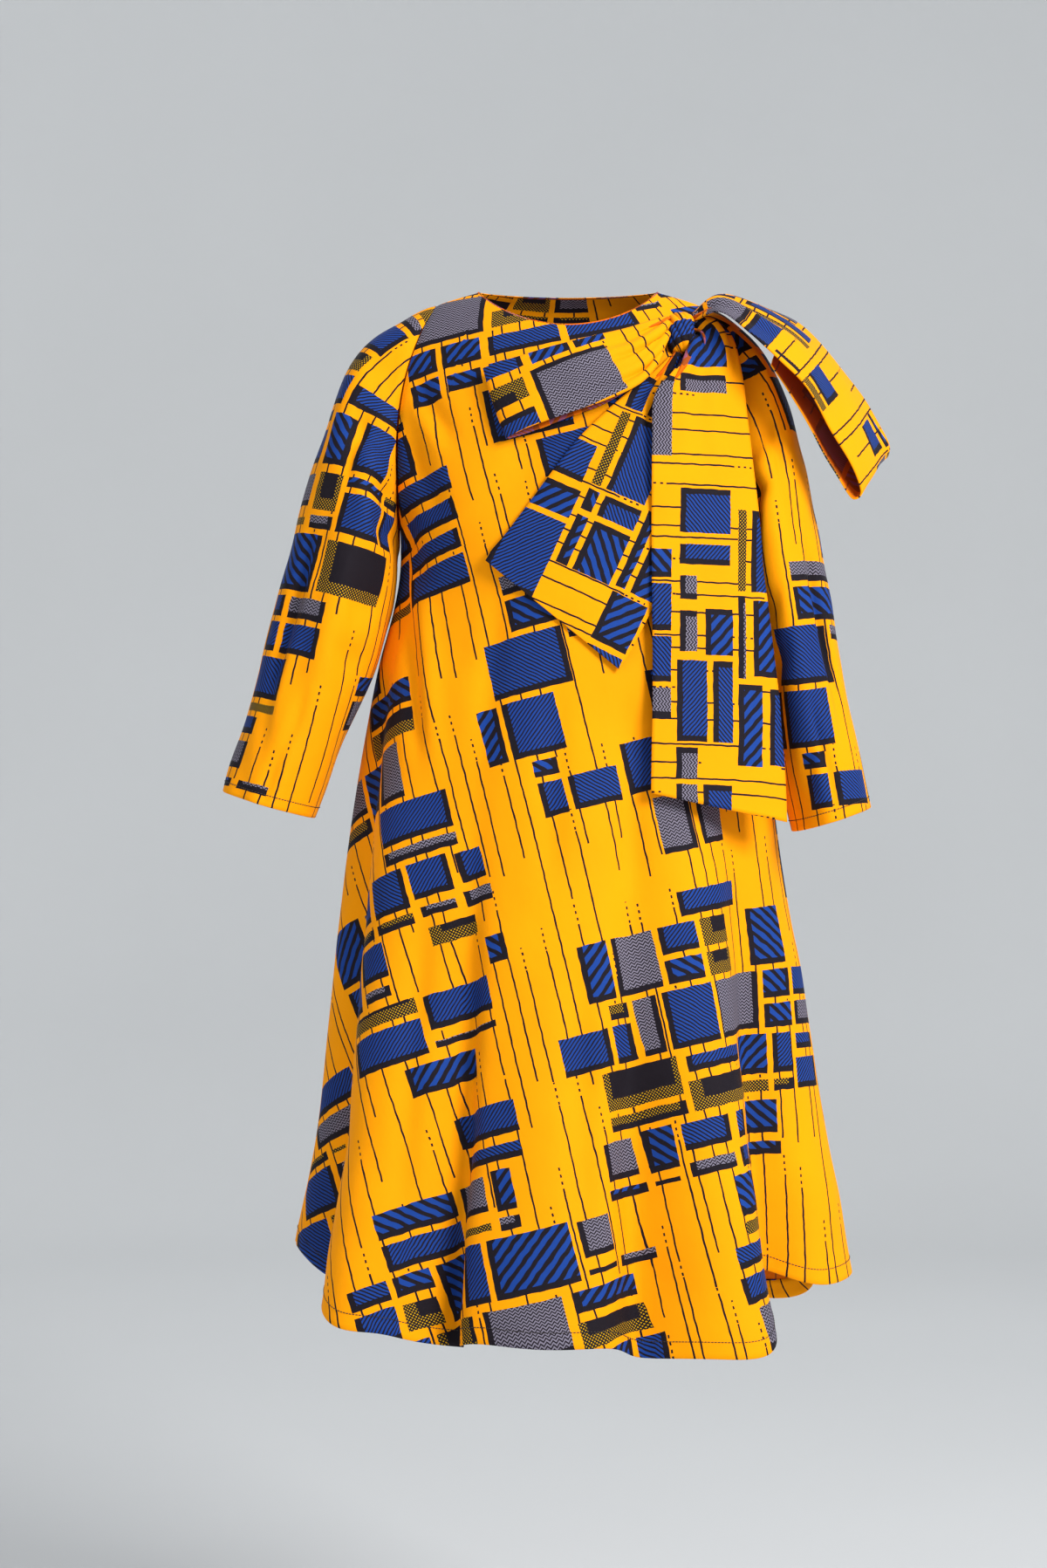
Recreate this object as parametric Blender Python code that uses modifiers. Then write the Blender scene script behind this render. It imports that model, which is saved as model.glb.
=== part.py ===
"""A knee-length swing dress in printed cotton, with three-quarter sleeves and a tied bow on one shoulder.

The dress is filled out as if worn, with nobody in it. Units are metres, +Z is up and the front faces -Y.
The origin is the middle of the shoulder line, level with the two points where shoulder meets neck.
Each piece of cloth is a grid of points that a function places, given a wall on its inner side.
"""

import bmesh
import bpy
import numpy as np

# Driving dimensions
WALL = 0.0016  # thickness of the cloth walls
SEAM = 0.0005  # gap between two pieces at a seam
NECK_HALF = 0.084  # half the width of the neck opening
NECK_FRONT = -0.038  # height of the neckline at the centre front
NECK_BACK = 0.000  # and at the centre back
SHOULDER_HALF = 0.125  # from the centre to the armhole, along the shoulder
RIDGE_TOP = 0.010  # height of the shoulder line if it ran on to the centre
UNDERARM = -0.245  # height of the bottom of the armholes
HEM_FRONT = -0.953  # height of the hem at the centre front, before its folds
HEM_BACK = -0.976
HEM_MINUS = -0.886  # and at the side seams
HEM_PLUS = -0.915
FACING_DEPTH = 0.026  # how far the neck facing reaches in from the neck edge
FACING_GAP = 0.0014  # between the facing and the piece that it backs
NECK_ROUNDING = 0.8  # power that shapes the neckline: 1 is a parabola, less is rounder
CUFF_FORWARD = -0.030  # how far the cuffs swing to the front
ARMHOLE_HOLD = 0.45  # share of a sleeve over which the armhole's shape fades out
BRIDGE_TOP = 0.020  # how far past the shoulder a hanging bow piece bridges to the sleeve
BRIDGE_BELOW = 0.090  # and from the underarm down
FOLD_GROWTH = 1.15  # power by which folds grow down to the hem
SIDE = np.pi / 2  # the angle of a side seam, counted from the centre front

# Number of grid cells
ROWS_ABOVE = 12  # from the shoulder to the underarm
ROWS_BELOW = 15  # from the underarm to the hem
ROW_POWER = 1.6  # above 1, rows lie closer together at the shoulder
FRONT_ACROSS = 29
BACK_ACROSS = 23
SLEEVE_ALONG = 12
BOW_ACROSS = 9
EDGE_CELL = 0.004  # share of a narrow cell along the side seams and armholes, so that edges meet squarely
FACING_ROUND = 44
FACING_DOWN = 3

# Half width of the body at a height, on the wearer's right (-X) and left (+X)
WIDTHS = (
    # height, minus x, plus x
    (0.010, 0.1760, 0.1760),
    (-0.012, 0.1768, 0.1768),
    (-0.080, 0.1850, 0.1850),
    (-0.120, 0.1820, 0.1820),
    (-0.160, 0.1755, 0.1755),
    (-0.200, 0.1672, 0.1672),
    (-0.230, 0.1602, 0.1602),
    (-0.245, 0.1580, 0.1580),
    (-0.265, 0.1585, 0.1585),
    (-0.300, 0.1640, 0.1630),
    (-0.350, 0.1775, 0.1740),
    (-0.420, 0.1900, 0.1840),
    (-0.500, 0.2010, 0.1925),
    (-0.585, 0.2090, 0.2030),
    (-0.680, 0.2160, 0.2170),
    (-0.794, 0.2240, 0.2310),
    (-0.900, 0.2400, 0.2480),
    (-0.980, 0.2500, 0.2570),
)

# How far the cloth stands out from the shoulder line, by how far it has dropped below it
DEPTHS = (
    # drop, front, back
    (0.000, 0.000, 0.000),
    (0.004, 0.013, 0.020),
    (0.012, 0.026, 0.040),
    (0.025, 0.040, 0.057),
    (0.046, 0.057, 0.073),
    (0.080, 0.076, 0.087),
    (0.120, 0.090, 0.096),
    (0.170, 0.101, 0.101),
    (0.230, 0.108, 0.104),
    (0.330, 0.117, 0.112),
    (0.500, 0.136, 0.136),
    (0.680, 0.160, 0.165),
    (0.820, 0.180, 0.188),
    (0.980, 0.202, 0.211),
)

# Half width of the body pieces at the armhole, from the shoulder down to the underarm
ARMHOLE = (
    # height, distance from the centre
    (0.010, 0.1250),
    (-0.0121, 0.1250),
    (-0.040, 0.1370),
    (-0.080, 0.1500),
    (-0.120, 0.1572),
    (-0.160, 0.1590),
    (-0.200, 0.1588),
    (-0.230, 0.1580),
    (-0.245, 0.1580),
)

# The folds that hang from the body, each widening and deepening down to the hem
BODY_FOLDS = (
    # name, angle at top, angle at hem, width, depth at hem, start height, lean, drop of the hem
    ("side ridge, minus x", -90, -90, 12, 0.018, -0.36, 0, 0.009),
    ("side trough, minus x", -72, -69, 8, -0.036, -0.22, 2, -0.006),
    ("front flute, minus x", -50, -50, 13, 0.046, -0.30, 4, 0.023),
    ("pleat, minus x", -22, -26, 7, -0.026, -0.46, 5, 0.006),
    ("centre swell", -8, -8, 14, 0.014, -0.40, 0, 0.000),
    ("centre trough", 18, 17, 8, -0.026, -0.42, -2, 0.014),
    ("front flute, plus x", 32, 31, 12, 0.034, -0.40, 5, 0.022),
    ("side trough, plus x", 52, 52, 8, -0.042, -0.42, 2, -0.024),
    ("side ridge, plus x", 82, 76, 15, 0.022, -0.36, 0, 0.000),
    ("back trough, plus x", 104, 104, 9, -0.026, -0.36, 0, 0.002),
    ("back flute, plus x", 124, 124, 13, 0.026, -0.30, 0, 0.026),
    ("back inner trough, plus x", 147, 147, 10, -0.026, -0.36, 0, -0.006),
    ("back middle flute", 171, 171, 14, 0.026, -0.32, 3, 0.006),
    ("back inner trough, minus x", 197, 197, 10, -0.028, -0.40, 0, -0.006),
    ("back inner flute, minus x", 217, 217, 11, 0.024, -0.36, 0, 0.008),
    ("back trough, minus x", 236, 238, 9, -0.026, -0.34, 0, -0.006),
    ("back outer flute, minus x", 254, 256, 10, 0.014, -0.40, 0, 0.004),
    ("low hem beside the flute, minus x", -72, -72, 9, 0.0, -0.22, 0, 0.034),
    ("low hem at the pleat", -30, -30, 9, 0.0, -0.30, 0, 0.016),
    ("low back hem, plus x", 136, 136, 14, 0.0, -0.36, 0, 0.022),
)

# Sleeve rings: the outer and inner point of each, its half depth, and how far along it lies
SLEEVE_MINUS = (
    # along, outer x, outer z, inner x, inner z, half depth
    (0.00, 0.1250, -0.0121, 0.1580, -0.2450, 0.049),
    (0.07, 0.1510, -0.0230, 0.1592, -0.2475, 0.055),
    (0.14, 0.1790, -0.0420, 0.1600, -0.2500, 0.060),
    (0.21, 0.2030, -0.0700, 0.1604, -0.2530, 0.064),
    (0.28, 0.2200, -0.1060, 0.1606, -0.2570, 0.066),
    (0.37, 0.2350, -0.1520, 0.1606, -0.2640, 0.067),
    (0.47, 0.2500, -0.2070, 0.1614, -0.2770, 0.066),
    (0.58, 0.2650, -0.2640, 0.1655, -0.3070, 0.064),
    (0.71, 0.2830, -0.3330, 0.1802, -0.3550, 0.061),
    (0.85, 0.3010, -0.4020, 0.2085, -0.4230, 0.059),
    (1.00, 0.3210, -0.4690, 0.2370, -0.4940, 0.058),
)
SLEEVE_PLUS = (
    # along, outer x, outer z, inner x, inner z, half depth
    (0.00, 0.1250, -0.0121, 0.1580, -0.2450, 0.049),
    (0.07, 0.1500, -0.0240, 0.1592, -0.2475, 0.055),
    (0.14, 0.1750, -0.0450, 0.1600, -0.2500, 0.060),
    (0.21, 0.1950, -0.0760, 0.1604, -0.2530, 0.064),
    (0.28, 0.2090, -0.1130, 0.1606, -0.2570, 0.066),
    (0.37, 0.2210, -0.1580, 0.1608, -0.2640, 0.067),
    (0.47, 0.2320, -0.2140, 0.1622, -0.2780, 0.066),
    (0.58, 0.2430, -0.2730, 0.1665, -0.3100, 0.064),
    (0.71, 0.2540, -0.3410, 0.1810, -0.3600, 0.061),
    (0.85, 0.2670, -0.4110, 0.1975, -0.4330, 0.059),
    (1.00, 0.2830, -0.4840, 0.2090, -0.5070, 0.058),
)

# Folds of a sleeve, each a trough or ridge that runs along it
SLEEVE_FOLDS = (
    # name, angle round the sleeve, where its middle lies along, width, length, depth
    ("crease from the armhole", 70, 0.22, 20, 0.16, -0.010),
    ("roll beside it", 104, 0.26, 18, 0.16, 0.006),
    ("elbow trough", 62, 0.66, 20, 0.26, -0.007),
    ("elbow roll", 100, 0.62, 20, 0.26, 0.005),
    ("back crease", 285, 0.30, 24, 0.20, -0.008),
    ("back elbow trough", 262, 0.66, 22, 0.24, -0.006),
)

# The knot of the bow, an upright bundle on the front of the shoulder
KNOT_X = 0.1045
KNOT_Z = -0.0495
KNOT_HALF = (0.0125, 0.0115, 0.0220)
KNOT_PLEATS = 8
KNOT_PLEAT_DEPTH = 0.05
KNOT_SEAT = 0.0006  # gap between the knot and the dress
GATHERS = 3  # how many gathers a bow piece has across where it meets the knot

# Bow pieces: the two long edges of each, and how far it stands out from the dress
LOOP_INNER = (
    # a x, a z, b x, b z, lift, crown, gather
    (0.0911, -0.0300, 0.0911, -0.0560, 0.0120, 0.000, 0.0012),
    (0.0790, -0.0350, 0.0830, -0.0780, 0.0130, 0.002, 0.0022),
    (0.0580, -0.0430, 0.0660, -0.0980, 0.0150, 0.003, 0.0018),
    (0.0300, -0.0510, 0.0380, -0.1125, 0.0160, 0.004, 0.0010),
    (-0.0100, -0.0625, -0.0020, -0.1270, 0.0160, 0.004, 0.0004),
    (-0.0560, -0.0755, -0.0370, -0.1395, 0.0140, 0.002, 0.0000),
    (-0.0740, -0.0805, -0.0520, -0.1460, 0.0110, 0.001, 0.0000),
    (-0.0785, -0.0820, -0.0560, -0.1480, 0.0075, 0.000, 0.0000),
    (-0.0735, -0.0835, -0.0520, -0.1480, 0.0042, 0.000, 0.0000),
    (-0.0500, -0.0790, -0.0330, -0.1420, 0.0030, 0.000, 0.0000),
    (-0.0100, -0.0680, -0.0020, -0.1300, 0.0030, 0.000, 0.0000),
    (0.0300, -0.0570, 0.0380, -0.1130, 0.0030, 0.000, 0.0000),
    (0.0640, -0.0460, 0.0690, -0.0900, 0.0034, 0.000, 0.0004),
    (0.0905, -0.0330, 0.0905, -0.0530, 0.0050, 0.000, 0.0008),
)
TAIL_SHORT = (
    # a x, a z, b x, b z, lift, crown, gather
    (0.0950, -0.0680, 0.1130, -0.0680, 0.0030, 0.000, 0.0010),
    (0.0780, -0.0850, 0.1130, -0.0960, 0.0022, 0.001, 0.0016),
    (0.0471, -0.1112, 0.1130, -0.1400, 0.0020, 0.001, 0.0012),
    (0.0080, -0.1500, 0.1120, -0.1900, 0.0020, 0.001, 0.0008),
    (-0.0310, -0.2010, 0.1010, -0.2500, 0.0022, 0.001, 0.0000),
    (-0.0545, -0.2330, 0.0760, -0.3040, 0.0022, 0.002, 0.0000),
    (-0.0690, -0.2500, 0.0570, -0.3410, 0.0024, 0.002, 0.0000),
    (-0.0751, -0.2593, 0.0463, -0.3587, 0.0024, 0.002, 0.0000),
)
TAIL_LONG = (
    # a x, a z, b x, b z, lift, crown, gather
    (0.1184, -0.0570, 0.1184, -0.0330, 0.0120, 0.000, 0.0010),
    (0.1130, -0.0700, 0.1370, -0.0330, 0.0180, 0.003, 0.0022),
    (0.0950, -0.0870, 0.1530, -0.0520, 0.0200, 0.004, 0.0020),
    (0.0785, -0.1090, 0.1610, -0.0900, 0.0170, 0.002, 0.0012),
    (0.0765, -0.1500, 0.1660, -0.1380, 0.0120, 0.001, 0.0006),
    (0.0757, -0.2130, 0.1740, -0.2100, 0.0070, 0.001, 0.0000),
    (0.0757, -0.2777, 0.1800, -0.2760, 0.0060, 0.001, 0.0000),
    (0.0765, -0.3500, 0.1900, -0.3560, 0.0060, 0.001, 0.0000),
    (0.0755, -0.4150, 0.1960, -0.4330, 0.0070, 0.002, 0.0000),
    (0.0745, -0.4698, 0.1990, -0.4968, 0.0080, 0.002, 0.0000),
)
LOOP_OUTER = (
    # a x, a y, a z, b x, b y, b z, crown, gather
    (0.1184, -0.036, -0.0270, 0.1184, -0.052, -0.0350, 0.000, 0.0008),
    (0.1420, -0.004, -0.0080, 0.1400, -0.080, -0.0260, 0.004, 0.0024),
    (0.1700, 0.018, -0.0090, 0.1660, -0.098, -0.0420, 0.008, 0.0016),
    (0.2080, 0.028, -0.0200, 0.1940, -0.106, -0.0720, 0.010, 0.0006),
    (0.2340, 0.028, -0.0390, 0.2170, -0.104, -0.1030, 0.010, 0.0000),
    (0.2620, 0.024, -0.0720, 0.2390, -0.098, -0.1380, 0.008, 0.0000),
    (0.2840, 0.018, -0.1030, 0.2590, -0.090, -0.1720, 0.005, 0.0000),
    (0.3010, 0.010, -0.1370, 0.2680, -0.082, -0.1940, 0.002, 0.0000),
    (0.3025, 0.008, -0.1500, 0.2640, -0.080, -0.2010, 0.000, 0.0000),
    (0.2960, 0.006, -0.1540, 0.2570, -0.080, -0.1970, 0.000, 0.0000),
    (0.2760, 0.006, -0.1300, 0.2410, -0.084, -0.1710, 0.002, 0.0000),
    (0.2560, 0.006, -0.1020, 0.2240, -0.088, -0.1420, 0.003, 0.0000),
    (0.2300, 0.004, -0.0690, 0.2040, -0.090, -0.1100, 0.003, 0.0000),
    (0.2040, 0.000, -0.0440, 0.1850, -0.088, -0.0800, 0.002, 0.0000),
)

# Colours: the ground of the printed cotton and its darker inside
AMBER = (1.0, 0.48, 0.010, 1.0)
BLUE = (0.020, 0.055, 0.330, 1.0)
COTTON_ROUGHNESS = 0.72


def smooth(knots, values, at):
    """A smooth curve through the values, read at the given places."""
    knots = np.asarray(knots, float)
    values = np.asarray(values, float)
    if knots[0] > knots[-1]:
        knots, values = knots[::-1], values[::-1]
    slope = np.gradient(values, knots, axis=0)
    at = np.clip(np.asarray(at, float), knots[0], knots[-1])
    i = np.clip(np.searchsorted(knots, at) - 1, 0, len(knots) - 2)
    span = knots[i + 1] - knots[i]
    t = (at - knots[i]) / span
    if values.ndim > 1:
        t, span = t[..., None], span[..., None]
    return (
        values[i] * (1 + 2 * t) * (1 - t) ** 2
        + values[i + 1] * t * t * (3 - 2 * t)
        + span * t * (1 - t) * (slope[i] * (1 - t) - slope[i + 1] * t)
    )


def column(table, first, last=None):
    """One column of a table, or several."""
    rows = [row[first:last] if last else row[first] for row in table]
    return np.array(rows, float)


def step(low, high, x):
    """Goes smoothly from 0 at low to 1 at high."""
    t = np.clip((x - low) / (high - low), 0, 1)
    return t * t * (3 - 2 * t)


def ridge(x):
    """Height of the shoulder line at a distance from the centre."""
    return RIDGE_TOP * (1 - (x / NECK_HALF) ** 2)


def half_width(z, share):
    """Half width of the body: share runs from -1 on the minus x side to 1 on the plus x side."""
    heights = column(WIDTHS, 0)
    minus = smooth(heights, column(WIDTHS, 1), z)
    plus = smooth(heights, column(WIDTHS, 2), z)
    return minus + (plus - minus) * step(-1, 1, share)


def depth(drop, back):
    """How far out the cloth stands at a drop below the shoulder line, at the front or the back."""
    root = np.sqrt(np.maximum(drop, 0))
    knots = np.sqrt(column(DEPTHS, 0))
    return np.where(back, smooth(knots, column(DEPTHS, 2), root), smooth(knots, column(DEPTHS, 1), root))


def folds(angle, z):
    """How far the folds move the cloth out, turn it round the body and draw its hem down."""
    out = np.zeros(np.broadcast(angle, z).shape)
    turn = np.zeros_like(out)
    drop = np.zeros_like(out)
    for _, top, bottom, width, deep, start, lean, low in BODY_FOLDS:
        grown = np.clip((start - z) / (start - HEM_FRONT), 0, 1.1) ** FOLD_GROWTH
        middle = np.radians(top + (bottom - top) * grown)
        away = (angle - middle + np.pi) % (2 * np.pi) - np.pi
        shape = grown * np.exp(-((away / np.radians(width)) ** 2))
        out += deep * shape
        turn += np.radians(lean) * shape
        drop += low * shape
    return out, turn, drop


def hem(angle):
    """Height of the hem: lowest at the back, highest at the side seams, and lower in each flute."""
    middle = (HEM_FRONT + HEM_BACK) / 2 + (HEM_FRONT - HEM_BACK) / 2 * np.cos(angle)
    side = (HEM_PLUS + HEM_MINUS) / 2 + (HEM_PLUS - HEM_MINUS) / 2 * np.sin(angle)
    return side + (middle - side) * np.cos(angle) ** 2 - folds(angle, HEM_FRONT)[2]


def body(angle, z, back):
    """A point of the body's outer face. Angle 0 is the centre front, 90 degrees the plus x side."""
    angle = np.asarray(angle, float)
    z = np.asarray(z, float)
    out, turn, _ = folds(angle, z)
    turned = angle + turn
    x = half_width(z, np.sin(turned)) * np.sin(turned)
    stand = depth(ridge(x) - z, np.cos(turned) < 0)
    seam = np.where(back, SEAM / 2, -SEAM / 2)
    return np.stack([x + out * np.sin(turned), seam - (stand + out) * np.cos(turned), z + 0 * x], axis=-1)


def armhole_angle(z, share):
    """The angle at which the body pieces end at the armhole, and 90 degrees below it."""
    edge = smooth(column(ARMHOLE, 0), column(ARMHOLE, 1), np.maximum(z, UNDERARM))
    sine = np.clip(edge / half_width(z, share), 0, 1)
    return np.where(z <= UNDERARM, SIDE, np.arcsin(sine))


def neckline(x, low, grown=0.0):
    """Height of the neck edge at x, where low is its height at the centre. A grown one lies further out."""
    half = NECK_HALF + grown
    inside = np.clip(1 - (x / half) ** 2, 0, 1)
    top = ridge(half)
    return top + (low - grown - top) * inside**NECK_ROUNDING


def shoulder_tip():
    """(angle, half width of the body) at the outer end of the shoulder line."""
    tip = ridge(SHOULDER_HALF)
    return float(armhole_angle(tip, 1)), float(half_width(tip, 1))


def panel_top(u, low):
    """Height of a body piece's top edge: the shoulder, then the neck. u runs from -1 to 1 across it."""
    tip_angle, tip_width = shoulder_tip()
    x = tip_width * np.sin(np.abs(u) * tip_angle)
    return np.where(x >= NECK_HALF - 1e-9, ridge(x), neckline(x, low))


def panel(u, v, back):
    """A point of the front or back piece. v runs from 0 at the top, past 1 at the underarm, to 2 at the hem."""
    top = panel_top(u, NECK_BACK if back else NECK_FRONT)
    low = hem(np.pi - u * SIDE if back else u * SIDE)
    z = np.where(v < 1, top + (UNDERARM - top) * v, UNDERARM + (low - UNDERARM) * (v - 1))
    angle = u * armhole_angle(z, np.sign(u))
    return body(np.pi - angle if back else angle, z, back)


def across_share(n):
    """Places across a panel, with one on each neck point and a narrow cell at each side."""
    tip_angle, tip_width = shoulder_tip()
    neck = np.arcsin(NECK_HALF / tip_width) / tip_angle
    outer = round(n * (1 - neck) / 2) + 1
    edge = np.concatenate([[-1], np.linspace(-1, -neck, outer)])
    edge[1] += EDGE_CELL
    even = np.linspace(-1, 1, n - 2 * outer)
    middle = neck * (even + np.sin(even * np.pi / 2)) / 2
    return np.concatenate([edge, middle[1:-1], -edge[::-1]])


def above_share():
    """Places down a panel from the shoulder at 0 to the underarm at 1, closest at the shoulder."""
    even = (1 - np.cos(np.linspace(0, np.pi, ROWS_ABOVE + 1))) / 2
    return even**ROW_POWER


def down_share():
    """The same places, and on from the underarm to the hem at 2."""
    return np.concatenate([above_share(), 1 + np.linspace(0, 1, ROWS_BELOW + 1)[1:]])


def round_share():
    """Turns round a sleeve, level with the rows of the panels at its armhole."""
    front = np.arccos(1 - 2 * above_share())
    return np.concatenate([front, 2 * np.pi - front[-2:0:-1]])


def armhole(turn, side):
    """A point of the armhole's edge. turn is 0 at the shoulder, pi at the underarm, and grows towards the front."""
    z = ridge(SHOULDER_HALF) + (UNDERARM - ridge(SHOULDER_HALF)) * (1 - np.cos(turn)) / 2
    angle = side * armhole_angle(z, side)
    return np.where((turn <= np.pi)[..., None], body(angle, z, False), body(np.pi - angle, z, True))


def oval(turn, ring, side):
    """A point of a sleeve ring, given as its outer x and z, inner x and z, and half depth."""
    middle, reach = (ring[..., 0:2] + ring[..., 2:4]) / 2, (ring[..., 0:2] - ring[..., 2:4]) / 2
    place = middle + reach * np.cos(turn)[..., None]
    return np.stack([side * place[..., 0], -ring[..., 4] * np.sin(turn), place[..., 1]], axis=-1)


def sleeve(turn, along, table, side):
    """A point of a sleeve's outer face. turn goes round it as on the armhole, along is 0 there and 1 at the cuff."""
    shape = oval(turn, smooth(column(table, 0), column(table, 1, 6), along), side)
    shape[..., 1] += CUFF_FORWARD * along
    hold = ((1 - np.clip(along / ARMHOLE_HOLD, 0, 1)) ** 2)[..., None]
    shape += (armhole(turn, side) - oval(turn, np.array(table[0][1:6]), side)) * hold
    for _, angle, middle, width, length, deep in SLEEVE_FOLDS:
        away = (turn - np.radians(angle)) / np.radians(width)
        size = deep * np.exp(-(away**2) - ((along - middle) / length) ** 2) * step(0, 0.08, along)
        shape[..., 1] += size * -np.sin(turn)
        shape[..., 0] += size * side * np.cos(turn)
    shape[..., 0] += side * SEAM * (1 - step(0, 0.05, along))
    return shape


def facing(turn, share):
    """A point of the neck facing's outer face, which lies inside the neck edge. turn 0 is the centre front."""
    grown = share * FACING_DEPTH
    x = (NECK_HALF + grown) * np.sin(turn)
    back = np.cos(turn) < 0
    z = neckline(x, np.where(back, NECK_BACK, NECK_FRONT), grown)
    front = np.arcsin(np.clip(x / half_width(z, np.sin(turn)), -1, 1))
    return body(np.where(back, np.pi - front, front), z, back)


def cover(x, z):
    """How far in front of the shoulder line a piece lies that hangs over both the chest and the sleeve."""
    below = step(-0.05, UNDERARM, z)
    wide = half_width(z, np.ones_like(x)) + BRIDGE_TOP + (BRIDGE_BELOW - BRIDGE_TOP) * below
    return depth(ridge(x) - z, False) * np.sqrt(np.clip(1 - (x / wide) ** 2, 0.05, 1))


def hanging_strip(t, along, table):
    """A point of a bow piece that lies over the dress. t is 0 on its a edge and 1 on its b edge."""
    rows = smooth(np.linspace(0, 1, len(table)), np.array(table), along)
    x = rows[..., 0] + (rows[..., 2] - rows[..., 0]) * t
    z = rows[..., 1] + (rows[..., 3] - rows[..., 1]) * t
    stand = rows[..., 4] + rows[..., 5] * np.sin(np.pi * t) + rows[..., 6] * np.cos(GATHERS * 2 * np.pi * t)
    return np.stack([x, -(cover(x, z) + stand), z], axis=-1)


def free_strip(t, along, table):
    """A point of a bow piece that stands clear of the dress."""
    rows = smooth(np.linspace(0, 1, len(table)), np.array(table), along)
    a, b = rows[..., 0:3], rows[..., 3:6]
    place = a + (b - a) * t[..., None]
    ahead = np.gradient(a + b, axis=0)
    up = np.cross(b - a, ahead)
    up /= np.linalg.norm(up, axis=-1, keepdims=True)
    raised = rows[..., 6] * np.sin(np.pi * t) + rows[..., 7] * np.cos(GATHERS * 2 * np.pi * t)
    return place + up * raised[..., None]


def cloth_material(name, colour):
    """A plain cotton in one colour."""
    material = bpy.data.materials.new(name)
    material.use_nodes = True
    shader = material.node_tree.nodes["Principled BSDF"]
    shader.inputs["Base Color"].default_value = colour
    shader.inputs["Roughness"].default_value = COTTON_ROUGHNESS
    shader.inputs["Metallic"].default_value = 0.0
    return material


def cloth_piece(name, points, side=-1, closed=False):
    """A wall of cloth on a grid of points, behind its faces, or on both sides of them where side is 0.

    The rows run down and the columns to the right, as one looks at the faces.
    """
    rows, columns = points.shape[:2]
    faces = []
    for row in range(rows - 1):
        for column_here in range(columns if closed else columns - 1):
            here = row * columns + column_here
            beside = row * columns + (column_here + 1) % columns
            faces.append((here, here + columns, beside + columns, beside))
    mesh = bpy.data.meshes.new(name)
    mesh.from_pydata(points.reshape(-1, 3).tolist(), [], faces)
    mesh.materials.append(cloth_material(f"printed cotton of {name}", AMBER))
    mesh.shade_smooth()
    piece = bpy.data.objects.new(name, mesh)
    wall = piece.modifiers.new("cloth wall", "SOLIDIFY")
    wall.thickness = WALL
    wall.offset = side
    DRESS.objects.link(piece)


def make_panel(name, back, across):
    """The front or the back of the dress."""
    u, v = np.meshgrid(across_share(across), down_share())
    points = panel(u, v, back)
    cloth_piece(name, points[:, ::-1] if back else points)


def make_sleeve(name, table, side):
    """A sleeve, as a tube from the armhole to the cuff."""
    lengthwise = np.concatenate([[0, EDGE_CELL], np.linspace(0, 1, SLEEVE_ALONG + 1)[1:] ** 1.1])
    turn, along = np.meshgrid(round_share(), lengthwise)
    points = sleeve(turn, along, table, side)
    cloth_piece(name, points[:, ::-1] if side > 0 else points, closed=True)


def make_facing():
    """The ring of cloth inside the neck edge, made from the body's own points, moved in."""
    round_it = np.linspace(0, 2 * np.pi, FACING_ROUND + 1)[:-1]
    turn, share = np.meshgrid(round_it, np.linspace(0, 1, FACING_DOWN + 1))
    ring = facing(turn, share)
    beside = np.roll(ring, -1, axis=1) - np.roll(ring, 1, axis=1)
    outward = np.cross(np.gradient(ring, axis=0), beside)
    outward /= np.linalg.norm(outward, axis=-1, keepdims=True)
    cloth_piece("neck_facing", ring - outward * (WALL + FACING_GAP), closed=True)


def make_strip(name, place, table, lengthwise):
    """A loop or a tail of the bow."""
    t, along = np.meshgrid(np.linspace(0, 1, BOW_ACROSS + 1), np.linspace(0, 1, lengthwise + 1))
    cloth_piece(name, place(t, along, table), side=0)


def knot_seat():
    """(place, tilt) of the knot: just clear of the front piece, leaning back as the chest does."""
    heights = KNOT_Z + np.array([-0.5, 0, 0.5]) * KNOT_HALF[2]
    chest = body(np.arcsin(KNOT_X / half_width(heights, 1)), heights, False)
    rise = chest[2] - chest[0]
    tilt = np.arctan2(rise[1], rise[2])
    off = KNOT_HALF[1] * (1 + KNOT_PLEAT_DEPTH) + KNOT_SEAT
    return chest[1] + off * np.array([0, -np.cos(tilt), np.sin(tilt)]), tilt


def make_knot():
    """A pleated bundle: a ball drawn out into a barrel, with upright pleats all round."""
    bm = bmesh.new()
    bmesh.ops.create_uvsphere(bm, u_segments=24, v_segments=12, radius=1)
    for vert in bm.verts:
        turn = np.arctan2(vert.co.y, vert.co.x)
        barrel = (1 + vert.co.z**2) ** 0.5
        pleated = barrel * (1 + KNOT_PLEAT_DEPTH * np.cos(KNOT_PLEATS * turn))
        vert.co.x *= KNOT_HALF[0] * pleated
        vert.co.y *= KNOT_HALF[1] * pleated
        vert.co.z *= KNOT_HALF[2]
    mesh = bpy.data.meshes.new("bow_knot")
    bm.to_mesh(mesh)
    bm.free()
    mesh.materials.append(cloth_material("printed cotton of bow_knot", BLUE))
    mesh.shade_smooth()
    knot = bpy.data.objects.new("bow_knot", mesh)
    knot.location, tilt = knot_seat()
    knot.rotation_euler.x = -tilt
    DRESS.objects.link(knot)


BOW_PIECES = (
    # name, how it lies, its table, cells along it
    ("bow_loop_inner", hanging_strip, LOOP_INNER, 22),
    ("bow_tail_short", hanging_strip, TAIL_SHORT, 9),
    ("bow_tail_long", hanging_strip, TAIL_LONG, 15),
    ("bow_loop_outer", free_strip, LOOP_OUTER, 22),
)

for old in list(bpy.data.objects):
    bpy.data.objects.remove(old, do_unlink=True)
DRESS = bpy.data.collections.new("swing_dress")
bpy.context.scene.collection.children.link(DRESS)

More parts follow.
